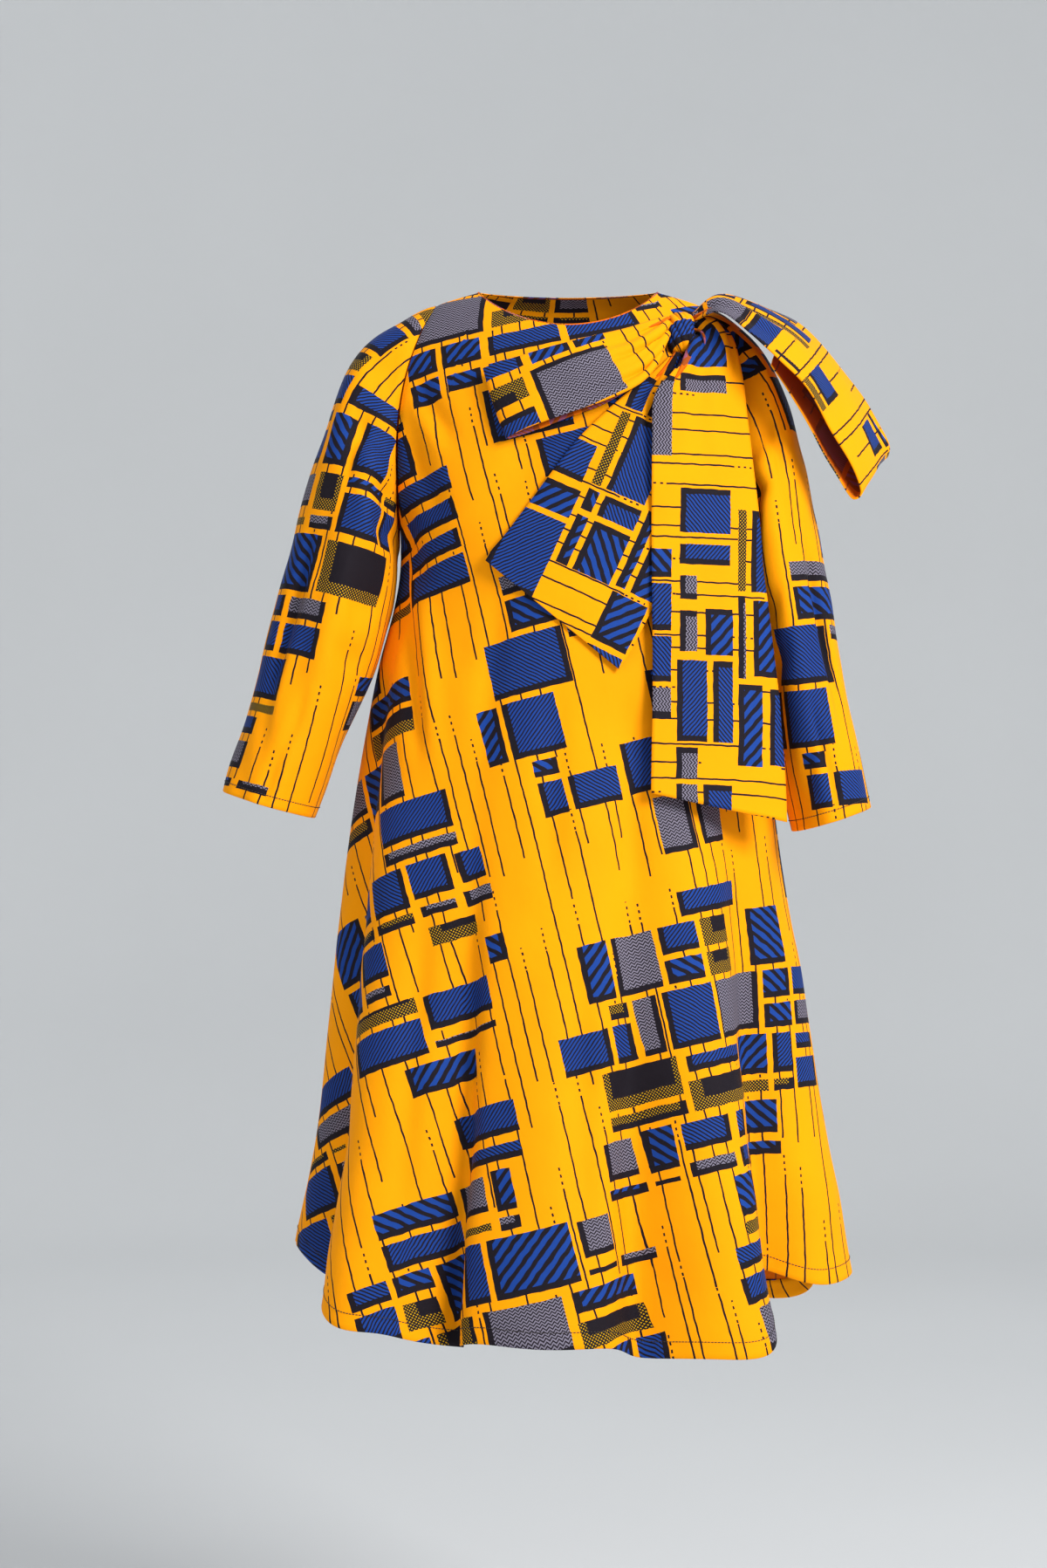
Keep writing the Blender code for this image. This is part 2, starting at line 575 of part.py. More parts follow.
make_panel("front_panel", False, FRONT_ACROSS)
make_panel("back_panel", True, BACK_ACROSS)
make_sleeve("sleeve_right", SLEEVE_MINUS, -1)
make_sleeve("sleeve_left", SLEEVE_PLUS, 1)
make_facing()
make_knot()
for name, place, table, lengthwise in BOW_PIECES:
    make_strip(name, place, table, lengthwise)
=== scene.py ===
"""The looks of a swing dress in printed cotton, filled out as if worn.

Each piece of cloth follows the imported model's shape, drawn finer, with its creases, seams, turned hems and
stitches. The print and the weave are laid on the cut cloth, so they follow it wherever it hangs.
Units are metres, +Z is up and the front faces -Y.
"""

import bpy
import numpy as np
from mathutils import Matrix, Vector


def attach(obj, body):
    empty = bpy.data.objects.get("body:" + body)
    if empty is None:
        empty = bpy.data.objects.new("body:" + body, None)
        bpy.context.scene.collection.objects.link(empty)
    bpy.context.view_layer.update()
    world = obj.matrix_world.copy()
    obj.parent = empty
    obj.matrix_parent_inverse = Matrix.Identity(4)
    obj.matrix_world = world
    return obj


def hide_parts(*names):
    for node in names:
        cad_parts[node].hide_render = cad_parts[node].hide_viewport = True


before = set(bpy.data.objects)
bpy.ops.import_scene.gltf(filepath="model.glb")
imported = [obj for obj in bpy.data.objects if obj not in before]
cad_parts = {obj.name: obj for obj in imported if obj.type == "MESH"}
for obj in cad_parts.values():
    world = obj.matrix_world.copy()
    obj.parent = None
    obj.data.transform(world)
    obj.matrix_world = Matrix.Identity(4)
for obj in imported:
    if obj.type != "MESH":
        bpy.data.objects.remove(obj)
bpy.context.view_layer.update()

# Driving dimensions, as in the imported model
SEAM = 0.0002  # gap between two pieces at a seam
NECK_HALF = 0.084  # half the width of the neck opening
NECK_FRONT = -0.038  # height of the neckline at the centre front
NECK_BACK = 0.000  # and at the centre back
SHOULDER_HALF = 0.125  # from the centre to the armhole, along the shoulder
RIDGE_TOP = 0.010  # height of the shoulder line if it ran on to the centre
UNDERARM = -0.245  # height of the bottom of the armholes
HEM_FRONT = -0.953  # height of the hem at the centre front, before its folds
HEM_BACK = -0.976
HEM_MINUS = -0.886  # and at the side seams
HEM_PLUS = -0.915
FACING_DEPTH = 0.026  # how far the neck facing reaches in from the neck edge
NECK_ROUNDING = 0.8  # power that shapes the neckline: 1 is a parabola, less is rounder
CUFF_FORWARD = -0.030  # how far the cuffs swing to the front
ARMHOLE_HOLD = 0.45  # share of a sleeve over which the armhole's shape fades out
BRIDGE_TOP = 0.020  # how far past the shoulder a hanging bow piece bridges to the sleeve
BRIDGE_BELOW = 0.090  # and from the underarm down
BRIDGE_START = -0.05  # height from which the bridge widens
BRIDGE_LEAST = 0.05  # keeps its curve open at its outer end
FOLD_GROWTH = 1.15  # power by which folds grow down to the hem
FOLD_LIMIT = 1.1  # the most that a fold grows below the front hem, as a share of its size there
SLEEVE_FOLDS_FROM = 0.08  # share of a sleeve over which its folds set in
SLEEVE_GAP_TO = 0.05  # share of a sleeve over which the gap at its seam closes
SIDE = np.pi / 2  # the angle of a side seam, counted from the centre front

# The cloth and how it is sewn
CLOTH = 0.0005  # thickness of one layer
HEM_TURN = 0.018  # how far the skirt's hem is turned up inside
SKIRT_LENGTH = 0.69  # about the cloth's run from the underarm to the hem
CUFF_TURN = 0.012
SLEEVE_LENGTH = 0.46  # about the run along a sleeve
DOUBLE = 0.0014  # thickness of the bow's cloth, which is sewn double
TURN_GAP = 0.0012  # from the outer face of a hem to the face of the layer turned up behind it
TURN_ROWS = 4  # rows of cells in a turned-up hem
SEAM_DIP = 0.0009  # how far the cloth dips into a seam
SEAM_REACH = 0.004  # and how wide that dip is
STITCH_PITCH = 0.0030
STITCH_LENGTH = 0.0026
STITCH_WIDTH = 0.0009
STITCH_SIDES = 6
STITCH_RINGS = 5
STITCH_PROUD = 0.2  # how far a stitch's middle stands off the cloth, as a share of its width

# Number of grid cells
ROWS_ABOVE = 64  # from the shoulder to the underarm
ROWS_BELOW = 104  # from the underarm to the hem
ROW_POWER = 1.6  # above 1, rows lie closer together at the shoulder
FRONT_ACROSS = 181
BACK_ACROSS = 141
SLEEVE_ALONG = 96
BOW_ACROSS = 36
BOW_ALONG = 150
EDGE_CELL = 0.004  # share of a narrow cell along the side seams and armholes, so that edges meet squarely
FACING_ROUND = 176
FACING_DOWN = 10
FACING_POWER = 1.5  # above 1, its rows lie closer together at the neck edge
FACING_STEP = 0.08  # share of it over which it drops behind the cloth
FACING_EDGE = 0.0001  # how far behind the neck edge the facing starts
FACING_BEHIND = 0.0009  # and how far behind the cloth it lies from there on
FACING_SLACK = 0.0016  # how much further behind its free edge lies
KNOT_ROUND = 120
KNOT_DOWN = 60
FLAT_CELLS = 44  # rows and columns of the coarser grid that is laid out flat
FLAT_ROUNDS = 12

# Half width of the body at a height, on the wearer's right (-X) and left (+X)
WIDTHS = (
    # height, minus x, plus x
    (0.010, 0.1760, 0.1760),
    (-0.012, 0.1768, 0.1768),
    (-0.080, 0.1850, 0.1850),
    (-0.120, 0.1820, 0.1820),
    (-0.160, 0.1755, 0.1755),
    (-0.200, 0.1672, 0.1672),
    (-0.230, 0.1602, 0.1602),
    (-0.245, 0.1580, 0.1580),
    (-0.265, 0.1585, 0.1585),
    (-0.300, 0.1640, 0.1630),
    (-0.350, 0.1775, 0.1740),
    (-0.420, 0.1900, 0.1840),
    (-0.500, 0.2010, 0.1925),
    (-0.585, 0.2090, 0.2030),
    (-0.680, 0.2160, 0.2170),
    (-0.794, 0.2240, 0.2310),
    (-0.900, 0.2400, 0.2480),
    (-0.980, 0.2500, 0.2570),
)

# How far the cloth stands out from the shoulder line, by how far it has dropped below it
DEPTHS = (
    # drop, front, back
    (0.000, 0.000, 0.000),
    (0.004, 0.013, 0.020),
    (0.012, 0.026, 0.040),
    (0.025, 0.040, 0.057),
    (0.046, 0.057, 0.073),
    (0.080, 0.076, 0.087),
    (0.120, 0.090, 0.096),
    (0.170, 0.101, 0.101),
    (0.230, 0.108, 0.104),
    (0.330, 0.117, 0.112),
    (0.500, 0.136, 0.136),
    (0.680, 0.160, 0.165),
    (0.820, 0.180, 0.188),
    (0.980, 0.202, 0.211),
)

# Half width of the body pieces at the armhole, from the shoulder down to the underarm
ARMHOLE = (
    # height, distance from the centre
    (0.010, 0.1250),
    (-0.0121, 0.1250),
    (-0.040, 0.1370),
    (-0.080, 0.1500),
    (-0.120, 0.1572),
    (-0.160, 0.1590),
    (-0.200, 0.1588),
    (-0.230, 0.1580),
    (-0.245, 0.1580),
)

# The folds that hang from the body, each widening and deepening down to the hem
BODY_FOLDS = (
    # name, angle at top, angle at hem, width, depth at hem, start height, lean, drop of the hem
    ("side ridge, minus x", -90, -90, 12, 0.018, -0.36, 0, 0.009),
    ("side trough, minus x", -72, -69, 8, -0.036, -0.22, 2, -0.006),
    ("front flute, minus x", -50, -50, 13, 0.046, -0.30, 4, 0.023),
    ("pleat, minus x", -25, -29, 4.5, -0.038, -0.44, 2, 0.006),
    ("centre swell", -8, -8, 14, 0.014, -0.40, 0, 0.000),
    ("centre trough", 17, 17, 6, -0.038, -0.42, -2, 0.014),
    ("front flute, plus x", 32, 31, 12, 0.034, -0.40, 5, 0.022),
    ("side trough, plus x", 52, 52, 8, -0.042, -0.42, 2, -0.024),
    ("side ridge, plus x", 82, 76, 15, 0.022, -0.36, 0, 0.000),
    ("back trough, plus x", 104, 104, 9, -0.026, -0.36, 0, 0.002),
    ("back flute, plus x", 124, 124, 13, 0.026, -0.30, 0, 0.026),
    ("back inner trough, plus x", 147, 147, 10, -0.026, -0.36, 0, -0.006),
    ("back middle flute", 171, 171, 14, 0.026, -0.32, 3, 0.006),
    ("back inner trough, minus x", 197, 197, 10, -0.028, -0.40, 0, -0.006),
    ("back inner flute, minus x", 217, 217, 11, 0.024, -0.36, 0, 0.008),
    ("back trough, minus x", 236, 238, 9, -0.026, -0.34, 0, -0.006),
    ("back outer flute, minus x", 254, 256, 10, 0.014, -0.40, 0, 0.004),
    ("low hem beside the flute, minus x", -72, -72, 9, 0.0, -0.22, 0, 0.034),
    ("low hem at the pleat", -30, -30, 9, 0.0, -0.30, 0, 0.016),
    ("low back hem, plus x", 136, 136, 14, 0.0, -0.36, 0, 0.022),
)

# Sleeve rings: the outer and inner point of each, its half depth, and how far along it lies
SLEEVE_MINUS = (
    # along, outer x, outer z, inner x, inner z, half depth
    (0.00, 0.1250, -0.0121, 0.1580, -0.2450, 0.049),
    (0.07, 0.1510, -0.0230, 0.1592, -0.2475, 0.055),
    (0.14, 0.1790, -0.0420, 0.1600, -0.2500, 0.060),
    (0.21, 0.2030, -0.0700, 0.1604, -0.2530, 0.064),
    (0.28, 0.2200, -0.1060, 0.1606, -0.2570, 0.066),
    (0.37, 0.2350, -0.1520, 0.1606, -0.2640, 0.067),
    (0.47, 0.2500, -0.2070, 0.1614, -0.2770, 0.066),
    (0.58, 0.2650, -0.2640, 0.1655, -0.3070, 0.064),
    (0.71, 0.2830, -0.3330, 0.1802, -0.3550, 0.061),
    (0.85, 0.3010, -0.4020, 0.2085, -0.4230, 0.059),
    (1.00, 0.3210, -0.4690, 0.2370, -0.4940, 0.058),
)
SLEEVE_PLUS = (
    # along, outer x, outer z, inner x, inner z, half depth
    (0.00, 0.1250, -0.0121, 0.1580, -0.2450, 0.049),
    (0.07, 0.1500, -0.0240, 0.1592, -0.2475, 0.055),
    (0.14, 0.1750, -0.0450, 0.1600, -0.2500, 0.060),
    (0.21, 0.1950, -0.0760, 0.1604, -0.2530, 0.064),
    (0.28, 0.2090, -0.1130, 0.1606, -0.2570, 0.066),
    (0.37, 0.2210, -0.1580, 0.1608, -0.2640, 0.067),
    (0.47, 0.2320, -0.2140, 0.1622, -0.2780, 0.066),
    (0.58, 0.2430, -0.2730, 0.1665, -0.3100, 0.064),
    (0.71, 0.2540, -0.3410, 0.1810, -0.3600, 0.061),
    (0.85, 0.2670, -0.4110, 0.1975, -0.4330, 0.059),
    (1.00, 0.2830, -0.4840, 0.2090, -0.5070, 0.058),
)

# Folds of a sleeve, each a trough or ridge that runs along it
SLEEVE_FOLDS = (
    # name, angle round the sleeve, where its middle lies along, width, length, depth
    ("crease from the armhole", 70, 0.22, 20, 0.16, -0.010),
    ("roll beside it", 104, 0.26, 18, 0.16, 0.006),
    ("elbow trough", 62, 0.66, 20, 0.26, -0.007),
    ("elbow roll", 100, 0.62, 20, 0.26, 0.005),
    ("back crease", 285, 0.30, 24, 0.20, -0.008),
    ("back elbow trough", 262, 0.66, 22, 0.24, -0.006),
)

# Bow pieces: the two long edges of each, and how far it stands out from the dress
LOOP_INNER = (
    # a x, a z, b x, b z, lift, crown, gather
    (0.0911, -0.0300, 0.0911, -0.0560, 0.0120, 0.000, 0.0012),
    (0.0790, -0.0350, 0.0830, -0.0780, 0.0130, 0.002, 0.0022),
    (0.0580, -0.0430, 0.0660, -0.0980, 0.0150, 0.003, 0.0018),
    (0.0300, -0.0510, 0.0380, -0.1125, 0.0160, 0.004, 0.0010),
    (-0.0100, -0.0625, -0.0020, -0.1270, 0.0160, 0.004, 0.0004),
    (-0.0560, -0.0755, -0.0370, -0.1395, 0.0140, 0.002, 0.0000),
    (-0.0740, -0.0805, -0.0520, -0.1460, 0.0110, 0.001, 0.0000),
    (-0.0785, -0.0820, -0.0560, -0.1480, 0.0075, 0.000, 0.0000),
    (-0.0735, -0.0835, -0.0520, -0.1480, 0.0042, 0.000, 0.0000),
    (-0.0500, -0.0790, -0.0330, -0.1420, 0.0030, 0.000, 0.0000),
    (-0.0100, -0.0680, -0.0020, -0.1300, 0.0030, 0.000, 0.0000),
    (0.0300, -0.0570, 0.0380, -0.1130, 0.0030, 0.000, 0.0000),
    (0.0640, -0.0460, 0.0690, -0.0900, 0.0034, 0.000, 0.0004),
    (0.0905, -0.0330, 0.0905, -0.0530, 0.0050, 0.000, 0.0008),
)
TAIL_SHORT = (
    # a x, a z, b x, b z, lift, crown, gather
    (0.0950, -0.0680, 0.1130, -0.0680, 0.0030, 0.000, 0.0010),
    (0.0780, -0.0850, 0.1130, -0.0960, 0.0022, 0.001, 0.0016),
    (0.0471, -0.1112, 0.1130, -0.1400, 0.0020, 0.001, 0.0012),
    (0.0080, -0.1500, 0.1120, -0.1900, 0.0020, 0.001, 0.0008),
    (-0.0310, -0.2010, 0.1010, -0.2500, 0.0022, 0.001, 0.0000),
    (-0.0545, -0.2330, 0.0760, -0.3040, 0.0022, 0.002, 0.0000),
    (-0.0690, -0.2500, 0.0570, -0.3410, 0.0024, 0.002, 0.0000),
    (-0.0751, -0.2593, 0.0463, -0.3587, 0.0024, 0.002, 0.0000),
)
TAIL_LONG = (
    # a x, a z, b x, b z, lift, crown, gather
    (0.1184, -0.0570, 0.1184, -0.0330, 0.0120, 0.000, 0.0010),
    (0.1130, -0.0700, 0.1370, -0.0330, 0.0180, 0.003, 0.0022),
    (0.0950, -0.0870, 0.1530, -0.0520, 0.0200, 0.004, 0.0020),
    (0.0785, -0.1090, 0.1610, -0.0900, 0.0170, 0.002, 0.0012),
    (0.0765, -0.1500, 0.1660, -0.1380, 0.0120, 0.001, 0.0006),
    (0.0757, -0.2130, 0.1740, -0.2100, 0.0070, 0.001, 0.0000),
    (0.0757, -0.2777, 0.1800, -0.2760, 0.0060, 0.001, 0.0000),
    (0.0765, -0.3500, 0.1900, -0.3560, 0.0060, 0.001, 0.0000),
    (0.0755, -0.4150, 0.1960, -0.4330, 0.0070, 0.002, 0.0000),
    (0.0745, -0.4698, 0.1990, -0.4968, 0.0080, 0.002, 0.0000),
)
LOOP_OUTER = (
    # a x, a y, a z, b x, b y, b z, crown, gather
    (0.1184, -0.036, -0.0270, 0.1184, -0.052, -0.0350, 0.000, 0.0008),
    (0.1420, -0.004, -0.0080, 0.1400, -0.082, -0.0330, 0.004, 0.0024),
    (0.1700, 0.018, -0.0090, 0.1640, -0.100, -0.0530, 0.008, 0.0016),
    (0.2080, 0.028, -0.0200, 0.1920, -0.108, -0.0800, 0.010, 0.0006),
    (0.2340, 0.028, -0.0390, 0.2170, -0.104, -0.1030, 0.010, 0.0000),
    (0.2620, 0.024, -0.0720, 0.2390, -0.098, -0.1380, 0.008, 0.0000),
    (0.2840, 0.018, -0.1030, 0.2590, -0.090, -0.1720, 0.005, 0.0000),
    (0.3010, 0.010, -0.1370, 0.2680, -0.082, -0.1940, 0.002, 0.0000),
    (0.3025, 0.008, -0.1500, 0.2640, -0.080, -0.2010, 0.000, 0.0000),
    (0.2960, 0.006, -0.1540, 0.2570, -0.080, -0.1970, 0.000, 0.0000),
    (0.2760, 0.006, -0.1300, 0.2410, -0.084, -0.1710, 0.002, 0.0000),
    (0.2560, 0.006, -0.1020, 0.2240, -0.088, -0.1420, 0.003, 0.0000),
    (0.2300, 0.004, -0.0690, 0.2040, -0.090, -0.1100, 0.003, 0.0000),
    (0.2040, 0.000, -0.0440, 0.1850, -0.088, -0.0800, 0.002, 0.0000),
)

# The knot of the bow, an upright bundle on the front of the shoulder
KNOT_X = 0.1045
KNOT_Z = -0.0495
KNOT_HALF = (0.0125, 0.0115, 0.0220)
KNOT_SEAT = 0.0006  # gap between the knot and the dress
KNOT_PLEATS = 9
KNOT_PLEAT_DEPTH = 0.05
KNOT_PLEAT_POWER = 0.5  # below 1, its pleats are rounder and the grooves between them sharper
KNOT_FOLD = 0.20  # how deep its pleats go, as a share of its width
KNOT_TWIST = 0.9  # how far the pleats turn round it from its middle to an end
KNOT_END = 0.12  # angle that stays open at each tucked-in end
KNOT_BLUNT = 0.62  # below 1, its ends are blunter than an egg's
KNOT_BEND = 0.010  # how far its ends are tucked back, towards the chest
GATHERS = 3  # how many gathers a bow piece has across where it meets the knot

# Where the print lies on each piece: how far its lines lean, and the point of the cloth at its middle
PRINT_LAY = {
    # lean in degrees, across, up
    "front_panel": (14, 0.060, 0.130),
    "back_panel": (0, 0.250, 0.040),
    "sleeve_right": (2, 0.420, 0.310),
    "sleeve_left": (-4, 0.110, 0.270),
    "neck_facing": (0, 0.300, 0.600),
    "bow_knot": (20, 0.500, 0.486),
    "bow_loop_inner": (-88, 0.100, 0.540),
    "bow_loop_outer": (-92, 0.350, 0.240),
    "bow_tail_short": (-86, 0.150, 0.900),
    "bow_tail_long": (-91, 0.320, 0.730),
}

# Creases of the body, as x and z seen from the front or through to the back
FRONT_CREASES = (
    # name, x, z, to x, to z, width, depth
    ("from the right armhole", -0.152, -0.080, -0.104, -0.150, 0.009, -0.0049),
    ("roll below it", -0.152, -0.098, -0.110, -0.168, 0.009, 0.0030),
    ("second from the armhole", -0.160, -0.130, -0.116, -0.215, 0.010, -0.0049),
    ("third, at the underarm", -0.164, -0.190, -0.132, -0.290, 0.010, -0.0049),
    ("under the right arm", -0.150, -0.280, -0.136, -0.440, 0.008, -0.0068),
    ("roll beside it", -0.136, -0.270, -0.120, -0.450, 0.010, 0.0046),
    ("towards the bow", -0.090, -0.050, 0.070, -0.058, 0.010, -0.0030),
    ("from the neck point to the knot", 0.084, -0.012, 0.101, -0.034, 0.0045, -0.0030),
    ("beside it", 0.094, -0.010, 0.106, -0.034, 0.0045, -0.0030),
    ("over the shoulder to the knot", 0.106, -0.014, 0.110, -0.036, 0.0045, -0.0027),
    ("below the bow's loop", -0.060, -0.160, 0.040, -0.120, 0.014, -0.0035),
    ("across the chest", -0.100, -0.230, -0.020, -0.170, 0.016, -0.0035),
    ("down from the chest", -0.062, -0.280, -0.080, -0.460, 0.012, -0.0041),
    ("beside the short tail", -0.010, -0.350, -0.016, -0.560, 0.014, -0.0046),
    ("below the short tail", 0.055, -0.370, 0.060, -0.560, 0.012, -0.0046),
    ("middle of the skirt", 0.010, -0.620, 0.014, -0.900, 0.014, -0.0054),
    ("left of the pleat", -0.130, -0.560, -0.150, -0.860, 0.012, -0.0046),
    ("under the left arm", 0.150, -0.270, 0.136, -0.430, 0.010, -0.0054),
)
BACK_CREASES = (
    ("from the left shoulder blade", 0.150, -0.090, 0.090, -0.210, 0.012, -0.0044),
    ("below it", 0.160, -0.140, 0.110, -0.260, 0.012, -0.0039),
    ("from the right shoulder blade", -0.150, -0.090, -0.090, -0.210, 0.012, -0.0044),
    ("below it", -0.160, -0.140, -0.110, -0.260, 0.012, -0.0039),
    ("below the neck", -0.060, -0.050, 0.060, -0.052, 0.012, -0.0026),
    ("down the middle", 0.004, -0.240, -0.004, -0.480, 0.014, -0.0036),
    ("left of the waist", 0.090, -0.330, 0.100, -0.560, 0.012, -0.0039),
    ("right of the waist", -0.090, -0.330, -0.100, -0.560, 0.012, -0.0039),
)

# Creases of a sleeve, by how far round it they lie and how far down from the armhole
SLEEVE_CREASES = (
    # name, degrees round, metres down, to degrees, to metres, width, depth
    ("over the cap", 66, 0.004, 38, 0.070, 0.008, -0.0036),
    ("from the armhole", 104, 0.003, 58, 0.085, 0.007, -0.0056),
    ("roll below it", 118, 0.006, 74, 0.090, 0.008, 0.0036),
    ("second from the armhole", 132, 0.003, 86, 0.080, 0.007, -0.0056),
    ("third, at the underarm", 156, 0.003, 112, 0.070, 0.008, -0.0050),
    ("outer elbow", 50, 0.210, 44, 0.370, 0.008, -0.0087),
    ("roll beside it", 68, 0.200, 62, 0.380, 0.010, 0.0045),
    ("inner elbow", 146, 0.080, 104, 0.165, 0.008, -0.0040),
    ("below it", 150, 0.130, 100, 0.215, 0.008, -0.0032),
    ("towards the cuff", 96, 0.260, 84, 0.400, 0.010, -0.0048),
    ("back of the cap", 250, 0.004, 296, 0.080, 0.009, -0.0050),
    ("back, at the underarm", 210, 0.004, 256, 0.070, 0.009, -0.0050),
    ("back of the elbow", 226, 0.130, 276, 0.210, 0.010, -0.0056),
    ("down the back", 286, 0.200, 292, 0.370, 0.010, -0.0056),
)
SLEEVE_RADIUS = 0.062  # turns a place round a sleeve into metres
CREASE_REACH = 0.42  # how far from its middle a crease fades out, as a share of its run
CREASE_ENDS = 4  # the higher, the more sharply it ends

# Soft unevenness: its size, and how far from an edge the cloth is held flat
PANEL_UNEVEN = 0.0022
FRONT_SEED = 3
BACK_SEED = 5
TOP_CALM = (0.012, 0.07)  # flat up to the first from the top edge, free from the second on
SIDE_CALM = 0.03
SLEEVE_UNEVEN = 0.0024
SLEEVE_SEED = 8
SLEEVE_CALM = 0.05
BOW_UNEVEN = 0.0013
BOW_WAVES = (0.03, 0.10)  # shortest and longest
BOW_WIDTH = 0.1
BOW_CALM = 0.04

# Gathers drawn into the bow's pieces by the knot
PULLS = 5  # across one piece
PULL_LENGTH = (0.060, 0.160)  # shortest and longest
PULL_DEPTH = 0.0066
PULL_WIDTH = 0.080  # as a share of the piece's width
PULL_PLACE = (0.2, 0.8)  # where in its own share of the width a gather may lie
PULL_SHARE = (0.5, 1.0)  # of its full depth
PULL_HOLD = 0.2  # share of its length before it starts to fade

# Camera, studio and light
CAMERA_AWAY = 2.75  # from the shoulder line
CAMERA_HEIGHT = -0.42
CAMERA_SHIFT = (-51 / 1797, -53.2 / 1797)  # as shares of the frame's height
FRAME_HEIGHT = 1.479  # what the frame takes in at the shoulder line, from bottom to top
SENSOR = 36.0
FLOOR = -1.42
FLOOR_RADIUS = 3.0  # of the flat round floor
SWEEP = 1.4  # radius of the curve that carries it up into the wall
SWEEP_ROWS = 25
FLOOR_MIDDLE = 0.001  # radius of the floor's innermost ring
WALL_TOP = 2.6
STUDIO_SIDES = 96
LOOK_AT = np.array([0.0, 0.0, -0.45])
AIR = 0.63  # strength of the even light all round
AIR_COLOUR = (0.92, 0.96, 1.0, 1.0)
LIGHTS = (
    # name, place, size, power
    ("key", (2.15, -2.45, 1.25), 1.3, 150.0),
    ("fill", (-2.4, -2.4, 0.2), 2.4, 16.0),
    ("top", (1.0, 0.2, 2.4), 2.2, 16.0),
    ("back", (-0.8, 3.0, 0.9), 2.0, 9.0),
)

# Colours
AMBER = (0.98, 0.340, 0.001, 1.0)
AMBER_INSIDE = (0.72, 0.135, 0.002, 1.0)
NAVY = (0.013, 0.010, 0.014, 1.0)
BLUE = (0.012, 0.052, 0.270, 1.0)
LILAC = (0.200, 0.180, 0.235, 1.0)
OLIVE = (0.600, 0.330, 0.002, 1.0)
THREAD = (0.018, 0.012, 0.010, 1.0)
PALE = (0.650, 0.660, 0.666, 1.0)
PLAIN_DARKEST = 0.93  # the darkest part of a plain finish, as a share of its colour

# The print: lengths in metres, shares of a brick, and chances out of 1
CELL_OFFSET = 200.5  # puts a random number's place in the middle of its cell, and past 0
HAND_WAVES = 120.0  # to a metre, in its hand-cut edges
HAND_STRAY = 0.0012
CUT_ACROSS = (0.66, 0.40, 0.30)  # chance of a cut, how much its place varies, and its least share
CUT_UP = (0.70, 0.56, 0.22)
NARROW = (0.024, 0.021)  # blocks under this width or height are narrow
CLUSTER_RAGGED = 0.40
BLOCK_KEPT = 0.9
SHRUNK = (0.72, 0.0025)  # blocks past this chance are smaller all round by this much
HATCH_SLANT = (0.66, 0.75)
FINE_HATCH = (0.0030, 0.56)  # spacing, and the share of it in the second colour
BROAD_HATCH = (0.0084, 0.54)
BROAD_SHAKE = 0.16
CHEVRON = 0.0050
COMBED = (0.0030, 0.52)
DOTS_UP = (0.0032, 0.46)
DOTS_DOWN = (0.0032, 0.50)
FILL_SPREAD = 0.84
NARROW_FILL = (0.30, 0.16)  # moves a narrow block on to other fillings
RIBBON_FROM = 0.40
SQUARE_FROM = 0.14  # past the share of blue
OLIVE_FROM = 0.28
SQUARE_RIM = (0.0065, 0.0055)
LINE_SWAY = 0.6
LINE_RUN = 0.19  # from one line's start to the next along a lane
LINE_LENGTH = (0.85, 0.35)  # how much its length varies, and its least share
DASH_RUN = 0.11
DASHES = (0.0062, 0.45)

# The finish of the cotton
CREASE_NOISE = (34.0, 3.0)  # waves to a metre, and detail
TONE_NOISE = (9.0, 4.0)
TONE_SHADE = (0.22, 0.88)  # how far the tone lightens the colour, from its least
ROUGHNESS = 0.60
TONE_ROUGHNESS = 0.16
INK_ROUGHNESS = 0.10  # less where there is ink
COTTON_BUMPS = (("Crease", 0.0018, 0.50), ("Weave", 0.00010, 0.40))  # height and strength
SHEEN = 0.012
SHEEN_ROUGHNESS = 0.45
SPECULAR = 0.05
WRONG_SIDE_FADING = 0.45


def add_object(name, data):
    """A new object in the scene."""
    added = bpy.data.objects.new(name, data)
    bpy.context.scene.collection.objects.link(added)
    return added


def smooth(knots, values, at):
    """A smooth curve through the values, read at the given places."""
    knots = np.asarray(knots, float)
    values = np.asarray(values, float)
    if knots[0] > knots[-1]:
        knots, values = knots[::-1], values[::-1]
    slope = np.gradient(values, knots, axis=0)
    at = np.clip(np.asarray(at, float), knots[0], knots[-1])
    i = np.clip(np.searchsorted(knots, at) - 1, 0, len(knots) - 2)
    span = knots[i + 1] - knots[i]
    t = (at - knots[i]) / span
    if values.ndim > 1:
        t, span = t[..., None], span[..., None]
    return (
        values[i] * (1 + 2 * t) * (1 - t) ** 2
        + values[i + 1] * t * t * (3 - 2 * t)
        + span * t * (1 - t) * (slope[i] * (1 - t) - slope[i + 1] * t)
    )


def column(table, first, last=None):
    """One column of a table, or several."""
    rows = [row[first:last] if last else row[first] for row in table]
    return np.array(rows, float)


def step(low, high, x):
    """Goes smoothly from 0 at low to 1 at high."""
    t = np.clip((x - low) / (high - low), 0, 1)
    return t * t * (3 - 2 * t)


def ridge(x):
    """Height of the shoulder line at a distance from the centre."""
    return RIDGE_TOP * (1 - (x / NECK_HALF) ** 2)


def half_width(z, share):
    """Half width of the body: share runs from -1 on the minus x side to 1 on the plus x side."""
    heights = column(WIDTHS, 0)
    minus = smooth(heights, column(WIDTHS, 1), z)
    plus = smooth(heights, column(WIDTHS, 2), z)
    return minus + (plus - minus) * step(-1, 1, share)


def depth(drop, back):
    """How far out the cloth stands at a drop below the shoulder line, at the front or the back."""
    root = np.sqrt(np.maximum(drop, 0))
    knots = np.sqrt(column(DEPTHS, 0))
    return np.where(back, smooth(knots, column(DEPTHS, 2), root), smooth(knots, column(DEPTHS, 1), root))


